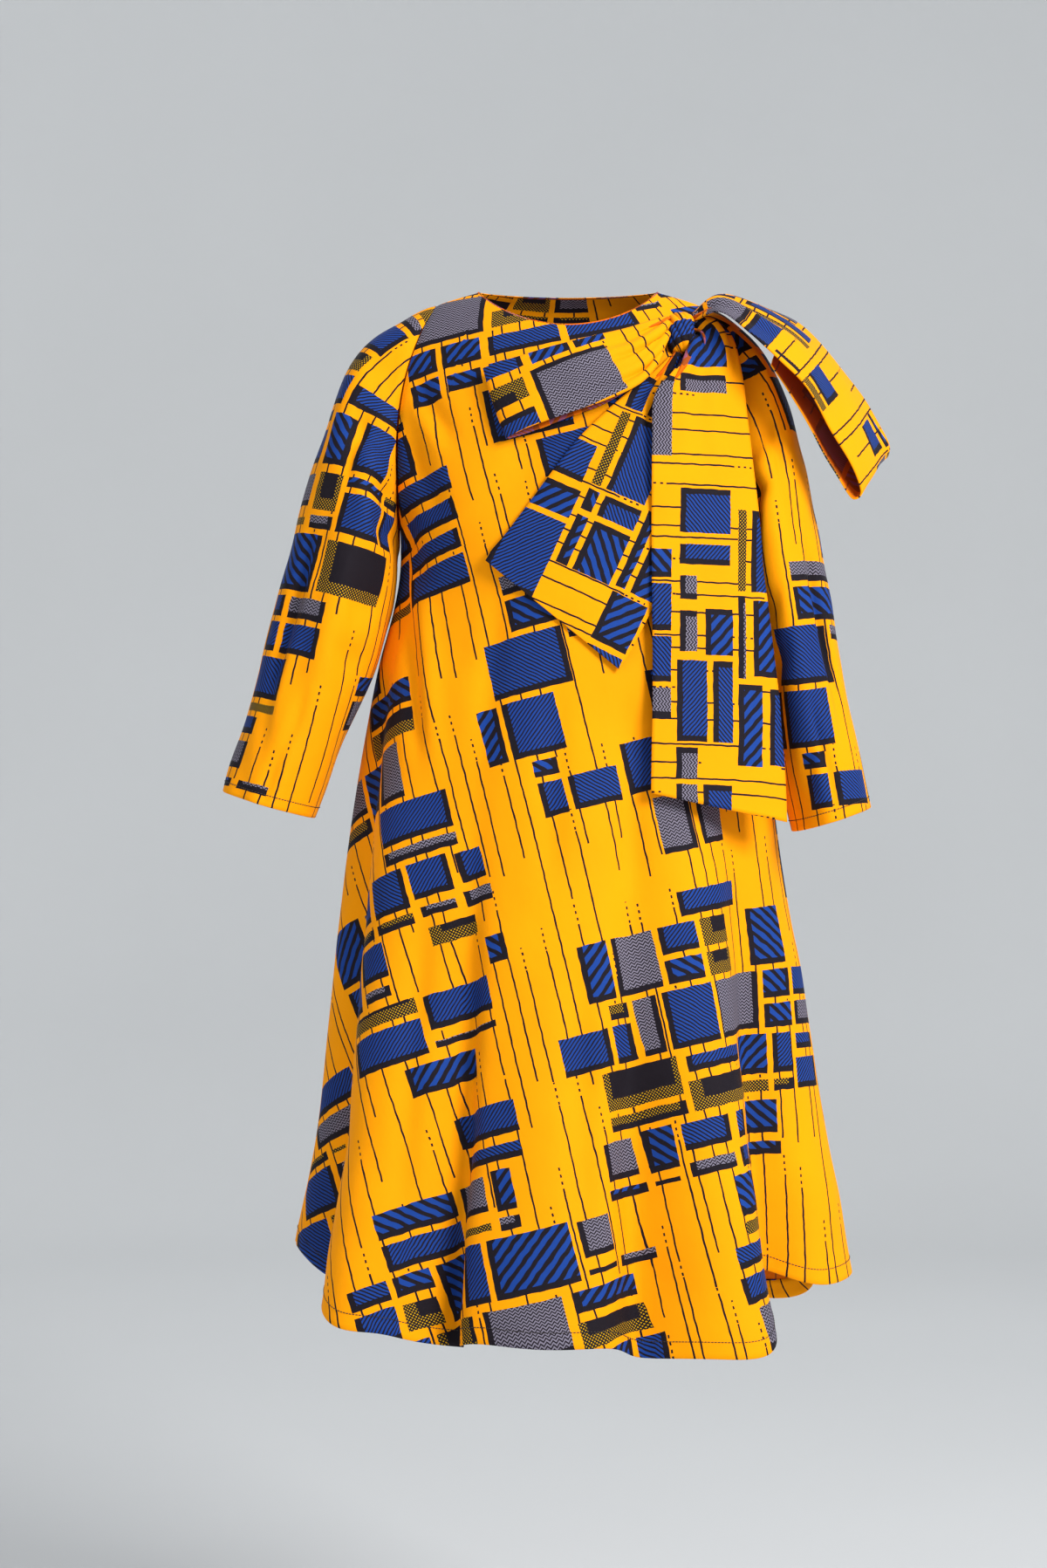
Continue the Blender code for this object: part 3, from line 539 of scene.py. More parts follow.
def folds(angle, z):
    """How far the folds move the cloth out, turn it round the body and draw its hem down."""
    out = np.zeros(np.broadcast(angle, z).shape)
    turn = np.zeros_like(out)
    drop = np.zeros_like(out)
    for _, top, bottom, width, deep, start, lean, low in BODY_FOLDS:
        grown = np.clip((start - z) / (start - HEM_FRONT), 0, FOLD_LIMIT) ** FOLD_GROWTH
        middle = np.radians(top + (bottom - top) * grown)
        away = (angle - middle + np.pi) % (2 * np.pi) - np.pi
        shape = grown * np.exp(-((away / np.radians(width)) ** 2))
        out += deep * shape
        turn += np.radians(lean) * shape
        drop += low * shape
    return out, turn, drop


def hem(angle):
    """Height of the hem: lowest at the back, highest at the side seams, and lower in each flute."""
    middle = (HEM_FRONT + HEM_BACK) / 2 + (HEM_FRONT - HEM_BACK) / 2 * np.cos(angle)
    side = (HEM_PLUS + HEM_MINUS) / 2 + (HEM_PLUS - HEM_MINUS) / 2 * np.sin(angle)
    return side + (middle - side) * np.cos(angle) ** 2 - folds(angle, HEM_FRONT)[2]


def body(angle, z, back):
    """A point of the body's outer face. Angle 0 is the centre front, 90 degrees the plus x side."""
    angle = np.asarray(angle, float)
    z = np.asarray(z, float)
    out, turn, _ = folds(angle, z)
    turned = angle + turn
    x = half_width(z, np.sin(turned)) * np.sin(turned)
    stand = depth(ridge(x) - z, np.cos(turned) < 0)
    seam = np.where(back, SEAM / 2, -SEAM / 2)
    return np.stack([x + out * np.sin(turned), seam - (stand + out) * np.cos(turned), z + 0 * x], axis=-1)


def armhole_angle(z, share):
    """The angle at which the body pieces end at the armhole, and 90 degrees below it."""
    edge = smooth(column(ARMHOLE, 0), column(ARMHOLE, 1), np.maximum(z, UNDERARM))
    sine = np.clip(edge / half_width(z, share), 0, 1)
    return np.where(z <= UNDERARM, SIDE, np.arcsin(sine))


def neckline(x, low, grown=0.0):
    """Height of the neck edge at x, where low is its height at the centre. A grown one lies further out."""
    half = NECK_HALF + grown
    inside = np.clip(1 - (x / half) ** 2, 0, 1)
    top = ridge(half)
    return top + (low - grown - top) * inside**NECK_ROUNDING


def shoulder_tip():
    """(angle, half width of the body) at the outer end of the shoulder line."""
    tip = ridge(SHOULDER_HALF)
    return float(armhole_angle(tip, 1)), float(half_width(tip, 1))


def panel_top(u, low):
    """Height of a body piece's top edge: the shoulder, then the neck. u runs from -1 to 1 across it."""
    tip_angle, tip_width = shoulder_tip()
    x = tip_width * np.sin(np.abs(u) * tip_angle)
    return np.where(x >= NECK_HALF - 1e-9, ridge(x), neckline(x, low))


def panel(u, v, back):
    """A point of the front or back piece. v is 0 at the top, 1 at the underarm and 2 at the hem."""
    top = panel_top(u, NECK_BACK if back else NECK_FRONT)
    low = hem(np.pi - u * SIDE if back else u * SIDE)
    z = np.where(v < 1, top + (UNDERARM - top) * v, UNDERARM + (low - UNDERARM) * (v - 1))
    angle = u * armhole_angle(z, np.sign(u))
    return body(np.pi - angle if back else angle, z, back)


def across_share(n):
    """Places across a panel, with one on each neck point and a narrow cell at each side."""
    tip_angle, tip_width = shoulder_tip()
    neck = np.arcsin(NECK_HALF / tip_width) / tip_angle
    outer = round(n * (1 - neck) / 2) + 1
    edge = np.concatenate([[-1], np.linspace(-1, -neck, outer)])
    edge[1] += EDGE_CELL
    even = np.linspace(-1, 1, n - 2 * outer)
    middle = neck * (even + np.sin(even * np.pi / 2)) / 2
    return np.concatenate([edge, middle[1:-1], -edge[::-1]])


def above_share():
    """Places down a panel from the shoulder at 0 to the underarm at 1, closest at the shoulder."""
    even = (1 - np.cos(np.linspace(0, np.pi, ROWS_ABOVE + 1))) / 2
    return even**ROW_POWER


def turned_end(rows, turned):
    """Places from 0 to 1 with even rows, and then the rows of an edge that is turned up by a share."""
    even = np.linspace(0, 1 - turned, rows - TURN_ROWS + 1)
    return np.concatenate([even, np.linspace(1 - turned, 1, TURN_ROWS + 1)[1:]])


def down_share():
    """The same places, and on from the underarm to the hem at 2."""
    return np.concatenate([above_share(), 1 + turned_end(ROWS_BELOW, HEM_TURN / SKIRT_LENGTH)[1:]])


def round_share():
    """Turns round a sleeve, level with the rows of the panels at its armhole."""
    front = np.arccos(1 - 2 * above_share())
    return np.concatenate([front, 2 * np.pi - front[-2:0:-1]])


def armhole(turn, side):
    """A point of the armhole's edge. turn is 0 at the shoulder and grows towards the front."""
    z = ridge(SHOULDER_HALF) + (UNDERARM - ridge(SHOULDER_HALF)) * (1 - np.cos(turn)) / 2
    angle = side * armhole_angle(z, side)
    return np.where((turn <= np.pi)[..., None], body(angle, z, False), body(np.pi - angle, z, True))


def oval(turn, ring, side):
    """A point of a sleeve ring, given as its outer x and z, inner x and z, and half depth."""
    middle, reach = (ring[..., 0:2] + ring[..., 2:4]) / 2, (ring[..., 0:2] - ring[..., 2:4]) / 2
    place = middle + reach * np.cos(turn)[..., None]
    return np.stack([side * place[..., 0], -ring[..., 4] * np.sin(turn), place[..., 1]], axis=-1)


def sleeve(turn, along, table, side):
    """A point of a sleeve's outer face. turn is as on the armhole, along is 0 there and 1 at the cuff."""
    shape = oval(turn, smooth(column(table, 0), column(table, 1, 6), along), side)
    shape[..., 1] += CUFF_FORWARD * along
    hold = ((1 - np.clip(along / ARMHOLE_HOLD, 0, 1)) ** 2)[..., None]
    shape += (armhole(turn, side) - oval(turn, np.array(table[0][1:6]), side)) * hold
    for _, angle, middle, width, length, deep in SLEEVE_FOLDS:
        away = (turn - np.radians(angle)) / np.radians(width)
        size = deep * np.exp(-(away**2) - ((along - middle) / length) ** 2)
        size = size * step(0, SLEEVE_FOLDS_FROM, along)
        shape[..., 1] += size * -np.sin(turn)
        shape[..., 0] += size * side * np.cos(turn)
    shape[..., 0] += side * SEAM * (1 - step(0, SLEEVE_GAP_TO, along))
    return shape


def facing(turn, share):
    """A point of the neck facing's outer face, inside the neck edge. turn 0 is the centre front."""
    grown = share * FACING_DEPTH
    x = (NECK_HALF + grown) * np.sin(turn)
    back = np.cos(turn) < 0
    z = neckline(x, np.where(back, NECK_BACK, NECK_FRONT), grown)
    front = np.arcsin(np.clip(x / half_width(z, np.sin(turn)), -1, 1))
    return body(np.where(back, np.pi - front, front), z, back)


def cover(x, z):
    """How far in front of the shoulder line a piece lies that hangs over both the chest and the sleeve."""
    below = step(BRIDGE_START, UNDERARM, z)
    wide = half_width(z, np.ones_like(x)) + BRIDGE_TOP + (BRIDGE_BELOW - BRIDGE_TOP) * below
    return depth(ridge(x) - z, False) * np.sqrt(np.clip(1 - (x / wide) ** 2, BRIDGE_LEAST, 1))


def hanging_strip(t, along, table):
    """A point of a bow piece that lies over the dress. t is 0 on its a edge and 1 on its b edge."""
    rows = smooth(np.linspace(0, 1, len(table)), np.array(table), along)
    x = rows[..., 0] + (rows[..., 2] - rows[..., 0]) * t
    z = rows[..., 1] + (rows[..., 3] - rows[..., 1]) * t
    stand = rows[..., 4] + rows[..., 5] * np.sin(np.pi * t) + rows[..., 6] * np.cos(GATHERS * 2 * np.pi * t)
    return np.stack([x, -(cover(x, z) + stand), z], axis=-1)


def free_strip(t, along, table):
    """A point of a bow piece that stands clear of the dress."""
    rows = smooth(np.linspace(0, 1, len(table)), np.array(table), along)
    a, b = rows[..., 0:3], rows[..., 3:6]
    place = a + (b - a) * t[..., None]
    ahead = np.gradient(a + b, axis=0)
    up = np.cross(b - a, ahead)
    up /= np.linalg.norm(up, axis=-1, keepdims=True)
    raised = rows[..., 6] * np.sin(np.pi * t) + rows[..., 7] * np.cos(GATHERS * 2 * np.pi * t)
    return place + up * raised[..., None]


def outward(points, closed=False):
    """The direction in which each point of a grid faces. Rows run down, columns to the right."""
    down = np.gradient(points, axis=0)
    if closed:
        right = np.roll(points, -1, axis=1) - np.roll(points, 1, axis=1)
    else:
        right = np.gradient(points, axis=1)
    facing_way = np.cross(down, right)
    return facing_way / np.linalg.norm(facing_way, axis=-1, keepdims=True)


def run_from(points, axis, last=False):
    """How far each point lies from its row's or column's first point, or from its last."""
    steps = np.linalg.norm(np.diff(points, axis=axis), axis=-1)
    start = np.zeros_like(np.take(steps, [0], axis=axis))
    run = np.concatenate([start, np.cumsum(steps, axis=axis)], axis=axis)
    return np.take(run, [-1], axis=axis) - run if last else run


def dip(distance):
    """How far the cloth sinks at a distance from a seam."""
    return -SEAM_DIP * np.exp(-((distance / SEAM_REACH) ** 2))


def unevenness(x, y, size, seed, shortest=0.05, longest=0.17, waves=16):
    """Soft waves over flat places, about size high, as cloth has where it hangs."""
    draw = np.random.default_rng(seed)
    height = np.zeros(np.broadcast(x, y).shape)
    for _ in range(waves):
        length = draw.uniform(shortest, longest)
        way = draw.uniform(0, np.pi)
        phase = draw.uniform(0, 2 * np.pi)
        height += np.sin((x * np.cos(way) + y * np.sin(way)) * 2 * np.pi / length + phase) * length / longest
    return height * size / np.sqrt(waves)


def creases(x, y, table):
    """Troughs and rolls that run from point to point over flat places."""
    height = np.zeros(np.broadcast(x, y).shape)
    for _, x0, y0, x1, y1, width, deep in table:
        run = np.hypot(x1 - x0, y1 - y0)
        ahead = ((x - x0) * (x1 - x0) + (y - y0) * (y1 - y0)) / run
        beside = ((x - x0) * (y1 - y0) - (y - y0) * (x1 - x0)) / run
        fade = np.exp(-((ahead / run - 0.5) / CREASE_REACH) ** CREASE_ENDS)
        height += deep * np.exp(-((beside / width) ** 2)) * fade
    return height


def turned_up(points, rows, closed=False):
    """The grid with its foot turned up inside it, over the given number of rows."""
    inward = -outward(points, closed)
    below = points[-1] - points[-2]
    below /= np.linalg.norm(below, axis=-1, keepdims=True)
    fold = points[-1] + (inward[-1] + below) * TURN_GAP / 2
    behind = (points + inward * TURN_GAP)[::-1][: rows + 1]
    return np.concatenate([points, fold[None], behind])


def cut_flat(points, kink=0):
    """Where each point of an open grid lies when its cloth is laid out flat, in metres.

    A coarser grid is flattened with the least stretch and the rest is read between its points. kink is a row
    at which the columns change their course, so that the coarser grid keeps it.
    """
    rows, columns = points.shape[:2]
    even_rows = np.linspace(0, rows - 1, min(rows, FLAT_CELLS)).round()
    pick_rows = np.unique(np.append(even_rows, kink).astype(int))
    pick_columns = np.unique(np.linspace(0, columns - 1, min(columns, FLAT_CELLS)).round().astype(int))
    coarse = points[np.ix_(pick_rows, pick_columns)]
    high, wide = coarse.shape[:2]
    corners = np.arange(high * wide).reshape(high, wide)
    faces = np.stack([corners[:-1, :-1], corners[1:, :-1], corners[1:, 1:], corners[:-1, 1:]], axis=-1)
    mesh = bpy.data.meshes.new("cut")
    mesh.from_pydata(coarse.reshape(-1, 3).tolist(), [], faces.reshape(-1, 4).tolist())
    mesh.uv_layers.new(name="cut")
    table = add_object("cut", mesh)
    bpy.context.view_layer.objects.active = table
    table.select_set(True)
    bpy.ops.object.mode_set(mode="EDIT")
    bpy.ops.mesh.select_all(action="SELECT")
    bpy.ops.uv.unwrap(method="MINIMUM_STRETCH", iterations=FLAT_ROUNDS)
    bpy.ops.object.mode_set(mode="OBJECT")
    flat = np.zeros(len(mesh.loops) * 2)
    mesh.uv_layers.active.uv.foreach_get("vector", flat)
    flat = flat.reshape(-1, 4, 2)
    beside = np.roll(flat, -1, axis=1)
    drawn = np.abs((flat[..., 0] * beside[..., 1] - flat[..., 1] * beside[..., 0]).sum(axis=1)).sum() / 2
    real = sum(face.area for face in mesh.polygons)
    cut = np.zeros((high * wide, 2))
    cut[faces.reshape(-1, 4)] = flat * np.sqrt(real / drawn)
    cut = cut.reshape(high, wide, 2)
    bpy.data.objects.remove(table, do_unlink=True)
    bpy.data.meshes.remove(mesh)
    down = run_from(points, 0)[:, columns // 2]
    across = run_from(points, 1)[rows // 2]
    fine = [np.interp(down, down[pick_rows], cut[:, k, n]) for n in range(2) for k in range(wide)]
    fine = np.array(fine).reshape(2, wide, rows)
    finer = [np.interp(across, across[pick_columns], fine[n, :, k]) for n in range(2) for k in range(rows)]
    return np.moveaxis(np.array(finer).reshape(2, rows, columns), 0, -1)


def lay_on_print(name, cut):
    """Turns the flat cut upright and leans it, then moves it to its place on the print."""
    lean, across, up = PRINT_LAY[name]
    middle = cut.shape[1] // 2
    way = cut[0, middle] - cut[-1, middle]
    turn = np.pi / 2 - np.arctan2(way[1], way[0]) - np.radians(lean)
    spin = np.array([[np.cos(turn), -np.sin(turn)], [np.sin(turn), np.cos(turn)]])
    return (cut - cut.reshape(-1, 2).mean(axis=0)) @ spin.T + (across, up)


def cloth_piece(name, points, side=-1, closed=False, kink=0, thick=CLOTH, face=None):
    """A sheet of cloth on a grid of points, with its flat cut as its UV map.

    A closed one is a tube, with its seam at column 0.
    """
    rows, columns = points.shape[:2]
    corners = np.arange(rows * columns).reshape(rows, columns)
    if closed:
        corners = np.concatenate([corners, corners[:, :1]], axis=1)
    faces = np.stack([corners[:-1, :-1], corners[1:, :-1], corners[1:, 1:], corners[:-1, 1:]], axis=-1)
    mesh = bpy.data.meshes.new(name)
    mesh.from_pydata(points.reshape(-1, 3).tolist(), [], faces.reshape(-1, 4).tolist())
    mesh.shade_smooth()
    mesh.materials.append(face or RIGHT_SIDE)
    mesh.materials.append(WRONG_SIDE)
    cut = lay_on_print(name, cut_flat(points.reshape(-1, 3)[corners], kink))
    on_faces = np.stack([cut[:-1, :-1], cut[1:, :-1], cut[1:, 1:], cut[:-1, 1:]], axis=-2)
    mesh.uv_layers.new(name="cut").uv.foreach_set("vector", on_faces.ravel())
    piece = add_object(name + "_cloth", mesh)
    wall = piece.modifiers.new("cloth", "SOLIDIFY")
    wall.thickness = thick
    wall.offset = side
    wall.material_offset = 1
    return piece


class Wire:
    """A value in a node tree, so that the sums of a pattern can be written as sums."""

    def __init__(self, tree, socket):
        self.tree = tree
        self.socket = socket

    def maths(self, kind, *others):
        node = self.tree.nodes.new("ShaderNodeMath")
        node.operation = kind
        for socket, value in zip(node.inputs, (self, *others)):
            feed(self.tree, value, socket)
        return Wire(self.tree, node.outputs[0])

    def __add__(self, other):
        return self.maths("ADD", other)

    def __sub__(self, other):
        return self.maths("SUBTRACT", other)

    def __mul__(self, other):
        return self.maths("MULTIPLY", other)

    def __truediv__(self, other):
        return self.maths("DIVIDE", other)

    def __lt__(self, other):
        return self.maths("LESS_THAN", other)

    def __gt__(self, other):
        return self.maths("GREATER_THAN", other)

    def __and__(self, other):
        return self.maths("MULTIPLY", other)

    def __or__(self, other):
        return self.maths("MAXIMUM", other)

    def other_way(self):
        """1 less the value."""
        return self.maths("MULTIPLY_ADD", -1.0, 1.0)

    def floor(self):
        return self.maths("FLOOR")

    def fraction(self):
        return self.maths("FRACT")

    def size(self):
        return self.maths("ABSOLUTE")


def feed(tree, value, socket):
    """Joins a value, or sets a number or colour, on a node's input."""
    if isinstance(value, Wire):
        tree.links.new(value.socket, socket)
    else:
        socket.default_value = value


def chances(x, y, salt):
    """Three random numbers from 0 to 1, always the same for the same x, y and salt."""
    tree = x.tree
    spot = tree.nodes.new("ShaderNodeCombineXYZ")
    for socket, value in zip(spot.inputs, (x + CELL_OFFSET, y + CELL_OFFSET, salt + 0.5)):
        feed(tree, value, socket)
    noise = tree.nodes.new("ShaderNodeTexWhiteNoise")
    tree.links.new(spot.outputs[0], noise.inputs["Vector"])
    parts = tree.nodes.new("ShaderNodeSeparateColor")
    tree.links.new(noise.outputs["Color"], parts.inputs[0])
    return [Wire(tree, socket) for socket in parts.outputs]


def waves(tree, place, fineness, detail=0.0):
    """Soft noise over the cloth, with so many waves to a metre: three values about a half."""
    noise = tree.nodes.new("ShaderNodeTexNoise")
    noise.inputs["Scale"].default_value = fineness
    noise.inputs["Detail"].default_value = detail
    feed(tree, place, noise.inputs["Vector"])
    parts = tree.nodes.new("ShaderNodeSeparateColor")
    tree.links.new(noise.outputs["Color"], parts.inputs[0])
    return [Wire(tree, socket) for socket in parts.outputs]


def cover_with(share, under, over, kind="MIX"):
    """Colour under, with colour over laid on it where share is 1."""
    node = share.tree.nodes.new("ShaderNodeMix")
    node.data_type = "RGBA"
    node.blend_type = kind
    for number, value in ((0, share), (6, under), (7, over)):
        feed(share.tree, value, node.inputs[number])
    return Wire(share.tree, node.outputs[2])


def new_group(name, inputs, outputs):
    """A shader node group with named sockets: (tree, its inputs as wires, its output node)."""
    tree = bpy.data.node_groups.new(name, "ShaderNodeTree")
    for title, kind, value in inputs:
        socket = tree.interface.new_socket(title, in_out="INPUT", socket_type="NodeSocket" + kind)
        if value is not None:
            socket.default_value = value
    for title, kind in outputs:
        tree.interface.new_socket(title, in_out="OUTPUT", socket_type="NodeSocket" + kind)
    source = tree.nodes.new("NodeGroupInput")
    wires = {title: Wire(tree, source.outputs[title]) for title, _, _ in inputs}
    return tree, wires, tree.nodes.new("NodeGroupOutput")


def stripes(value, spacing, share):
    """1 on stripes at a spacing, each as wide as a share of it."""
    return (value / spacing).fraction() < share


def block_print():
    """The print: clusters of hatched blocks with dark edges, among thin lines that end in dashes."""
    tree, given, out = new_group(
        "block print",
        (
            ("Cloth", "Vector", None),
            ("Ground", "Color", AMBER),
            ("Brick width", "Float", 0.080),
            ("Brick height", "Float", 0.058),
            ("Gap", "Float", 0.0027),
            ("Dark edge", "Float", 0.0054),
            ("Line spacing", "Float", 0.0165),
            ("Line width", "Float", 0.0017),
            ("Cluster width", "Float", 0.300),
            ("Cluster height", "Float", 0.380),
            ("Cluster reach", "Float", 1.16),
            ("Blue share", "Float", 0.62),
            ("Fading", "Float", 0.0),
        ),
        (("Colour", "Color"), ("Ink", "Float")),
    )
    wide, high, gap, edge = (given[name] for name in ("Brick width", "Brick height", "Gap", "Dark edge"))
    apart = tree.nodes.new("ShaderNodeSeparateXYZ")
    tree.links.new(given["Cloth"].socket, apart.inputs[0])
    hand = waves(tree, given["Cloth"], HAND_WAVES)
    x = Wire(tree, apart.outputs[0]) + (hand[0] - 0.5) * HAND_STRAY
    y = Wire(tree, apart.outputs[1]) + (hand[1] - 0.5) * HAND_STRAY

    # Bricks, each cut once across and once up, or not at all
    row = (y / high).floor()
    shift = chances(row, row * 0.0, 1.0)[0]
    along = x / wide + shift
    brick = along.floor()
    in_x = (along - brick) * wide
    in_y = y - row * high
    cut_1, cut_2, ragged = chances(brick, row, 2.0)
    cut_3, cut_4, _ = chances(brick, row, 3.0)
    chance, spread, least = CUT_ACROSS
    cut_x = wide + (cut_1 < chance) * wide * (cut_2 * spread + least - 1.0)
    chance, spread, least = CUT_UP
    cut_y = high + (cut_3 < chance) * high * (cut_4 * spread + least - 1.0)
    right = in_x > cut_x
    upper = in_y > cut_y
    here_x = in_x - right * cut_x
    here_y = in_y - upper * cut_y
    block_wide = cut_x + right * (wide - cut_x * 2.0)
    block_high = cut_y + upper * (high - cut_y * 2.0)
    kept, fill, side = chances(brick * 2.0 + right, row * 2.0 + upper, 4.0)
    slope, shrink, _ = chances(brick * 2.0 + right, row * 2.0 + upper, 5.0)
    narrow = (block_wide < NARROW[0]) | (block_high < NARROW[1])

    # Which bricks carry blocks: clusters set in half-drop
    middle_x = (brick + 0.5 - shift) * wide / given["Cluster width"]
    file = middle_x.floor()
    middle_y = (row + 0.5) * high / given["Cluster height"] + file * 0.5
    rank = middle_y.floor()
    off_x = (middle_x - file - 0.5).size()
    off_y = (middle_y - rank - 0.5).size()
    clustered = (off_x + off_y) * 2.0 < given["Cluster reach"] + (ragged - 0.5) * CLUSTER_RAGGED
    present = clustered & (kept < BLOCK_KEPT)

    # One block: its face, and a dark edge on one side and below
    left_edge = side < 0.5
    inset = gap + (shrink > SHRUNK[0]) * SHRUNK[1]
    block = (here_x > inset) & (here_x < block_wide - inset)
    block = block & (here_y > inset) & (here_y < block_high - inset) & present
    face_from = inset + edge * left_edge
    face = (here_x > face_from) & (here_x < block_wide - inset - edge * left_edge.other_way())
    face = face & (here_y > inset + edge) & block

    # What fills its face
    mirror = (slope > 0.5) * 2.0 - 1.0
    slant = x * HATCH_SLANT[0] * mirror + y * HATCH_SLANT[1]
    fine = stripes(slant, *FINE_HATCH)
    broad = (slant / BROAD_HATCH[0] + (hand[2] - 0.5) * BROAD_SHAKE).fraction() < BROAD_HATCH[1]
    chevron = ((x / CHEVRON).fraction() - 0.5).size() * CHEVRON
    combed = stripes(y + chevron, *COMBED)
    dotted = (stripes(x + y, *DOTS_UP) & stripes(x - y, *DOTS_DOWN)).other_way()
    kind = fill * FILL_SPREAD + narrow * (fill.other_way() * NARROW_FILL[0] + NARROW_FILL[1])
    blue_share = given["Blue share"]
    past_square = kind > blue_share + OLIVE_FROM
    is_square = (kind > blue_share + SQUARE_FROM) & (kind < blue_share + OLIVE_FROM)
    blue = cover_with(fine, NAVY, BLUE)
    ribbon = cover_with(broad, NAVY, BLUE)
    grey = cover_with(combed, NAVY, LILAC)
    olive = cover_with(dotted, OLIVE, NAVY)
    rim = (here_x < face_from + SQUARE_RIM[0]) | (here_y < inset + edge + SQUARE_RIM[1])
    square = cover_with(rim, NAVY, olive)
    filling = cover_with(kind > RIBBON_FROM, blue, ribbon)
    filling = cover_with(kind > blue_share, filling, grey)
    filling = cover_with(is_square, filling, square)
    filling = cover_with(past_square, filling, olive)

    # Thin lines down the cloth, which end in dashes
    spacing = given["Line spacing"]
    lane = (x / spacing).floor()
    sway, start, _ = chances(lane, lane * 0.0, 6.0)
    from_line = (x - (lane + 0.5 + (sway - 0.5) * LINE_SWAY) * spacing).size()
    reach = y / LINE_RUN + start
    length = chances(lane, reach.floor(), 7.0)[0] * LINE_LENGTH[0] + LINE_LENGTH[1]
    solid = reach.fraction() < length
    dashes = (reach.fraction() < length + DASH_RUN) & stripes(y, *DASHES)
    line = (from_line * 2.0 < given["Line width"]) & (solid | dashes)

    colour = cover_with(line, given["Ground"], NAVY)
    edging = cover_with(is_square, NAVY, olive)
    colour = cover_with(block, colour, edging)
    colour = cover_with(face, colour, filling)
    colour = cover_with(given["Fading"], colour, given["Ground"])
    feed(tree, colour, out.inputs["Colour"])
    feed(tree, line | block, out.inputs["Ink"])
    return tree


def woven_cotton():
    """Plain weave with slubs, and the soft small creases of cotton that has been worn."""
    tree, given, out = new_group(
        "woven cotton",
        (("Cloth", "Vector", None), ("Thread", "Float", 0.00045), ("Creasing", "Float", 1.0)),
        (("Weave", "Float"), ("Crease", "Float"), ("Tone", "Float")),
    )
    apart = tree.nodes.new("ShaderNodeSeparateXYZ")
    tree.links.new(given["Cloth"].socket, apart.inputs[0])
    x = Wire(tree, apart.outputs[0]) / given["Thread"]
    y = Wire(tree, apart.outputs[1]) / given["Thread"]
    over = ((x.floor() + y.floor()) * 0.5).fraction() * 2.0
    warp = (x * np.pi).maths("SINE").size()
    weft = (y * np.pi).maths("SINE").size()
    feed(tree, warp * over + weft * over.other_way(), out.inputs["Weave"])
    soft = waves(tree, given["Cloth"], *CREASE_NOISE)
    feed(tree, soft[0] * given["Creasing"], out.inputs["Crease"])
    cloudy = waves(tree, given["Cloth"], *TONE_NOISE)
    feed(tree, cloudy[0], out.inputs["Tone"])
    return tree


def cotton(name, ground, fading, **print_values):
    """Printed cotton seen from one side. The print takes further values where they aren't the usual."""
    material = bpy.data.materials.new(name)
    material.use_nodes = True
    tree = material.node_tree
    shader = tree.nodes["Principled BSDF"]
    cut = tree.nodes.new("ShaderNodeUVMap")
    cut.uv_map = "cut"
    printed = tree.nodes.new("ShaderNodeGroup")
    printed.node_tree = PRINT
    printed.inputs["Ground"].default_value = ground
    printed.inputs["Fading"].default_value = fading
    for title, value in print_values.items():
        printed.inputs[title.replace("_", " ").capitalize()].default_value = value
    woven = tree.nodes.new("ShaderNodeGroup")
    woven.node_tree = WEAVE
    for group in (printed, woven):
        tree.links.new(cut.outputs["UV"], group.inputs["Cloth"])
    colour = Wire(tree, printed.outputs["Colour"])
    tone = Wire(tree, woven.outputs["Tone"])
    shade = tree.nodes.new("ShaderNodeCombineColor")
    for socket in shade.inputs[:3]:
        feed(tree, tone * TONE_SHADE[0] + TONE_SHADE[1], socket)
    colour = cover_with(tone * 0.0 + 1.0, colour, Wire(tree, shade.outputs[0]), "MULTIPLY")
    feed(tree, colour, shader.inputs["Base Color"])
    ink = Wire(tree, printed.outputs["Ink"])
    feed(tree, tone * TONE_ROUGHNESS + ROUGHNESS - ink * INK_ROUGHNESS, shader.inputs["Roughness"])
    bump = None
    for output, height, strength in COTTON_BUMPS:
        node = tree.nodes.new("ShaderNodeBump")
        node.inputs["Strength"].default_value = strength
        node.inputs["Distance"].default_value = height
        tree.links.new(woven.outputs[output], node.inputs["Height"])
        if bump is not None:
            tree.links.new(bump.outputs[0], node.inputs["Normal"])
        bump = node
    tree.links.new(bump.outputs[0], shader.inputs["Normal"])
    shader.inputs["Sheen Weight"].default_value = SHEEN
    shader.inputs["Sheen Roughness"].default_value = SHEEN_ROUGHNESS
    shader.inputs["Specular IOR Level"].default_value = SPECULAR
    return material


def plain(name, colour, roughness, fineness):
    """A plain finish with a little unevenness, for thread and for the studio."""
    material = bpy.data.materials.new(name)
    material.use_nodes = True
    tree = material.node_tree
    shader = tree.nodes["Principled BSDF"]
    place = tree.nodes.new("ShaderNodeTexCoord")
    uneven = waves(tree, Wire(tree, place.outputs["Object"]), fineness, 2.0)[0]
    dark = tuple(part * PLAIN_DARKEST for part in colour[:3]) + (1.0,)
    feed(tree, cover_with(uneven, dark, colour), shader.inputs["Base Color"])
    shader.inputs["Roughness"].default_value = roughness
    return material


def finish(piece, node):
    """Hangs a cloth piece from the root body and hides the imported part that it replaces."""
    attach(piece, "root")
    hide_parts(node)


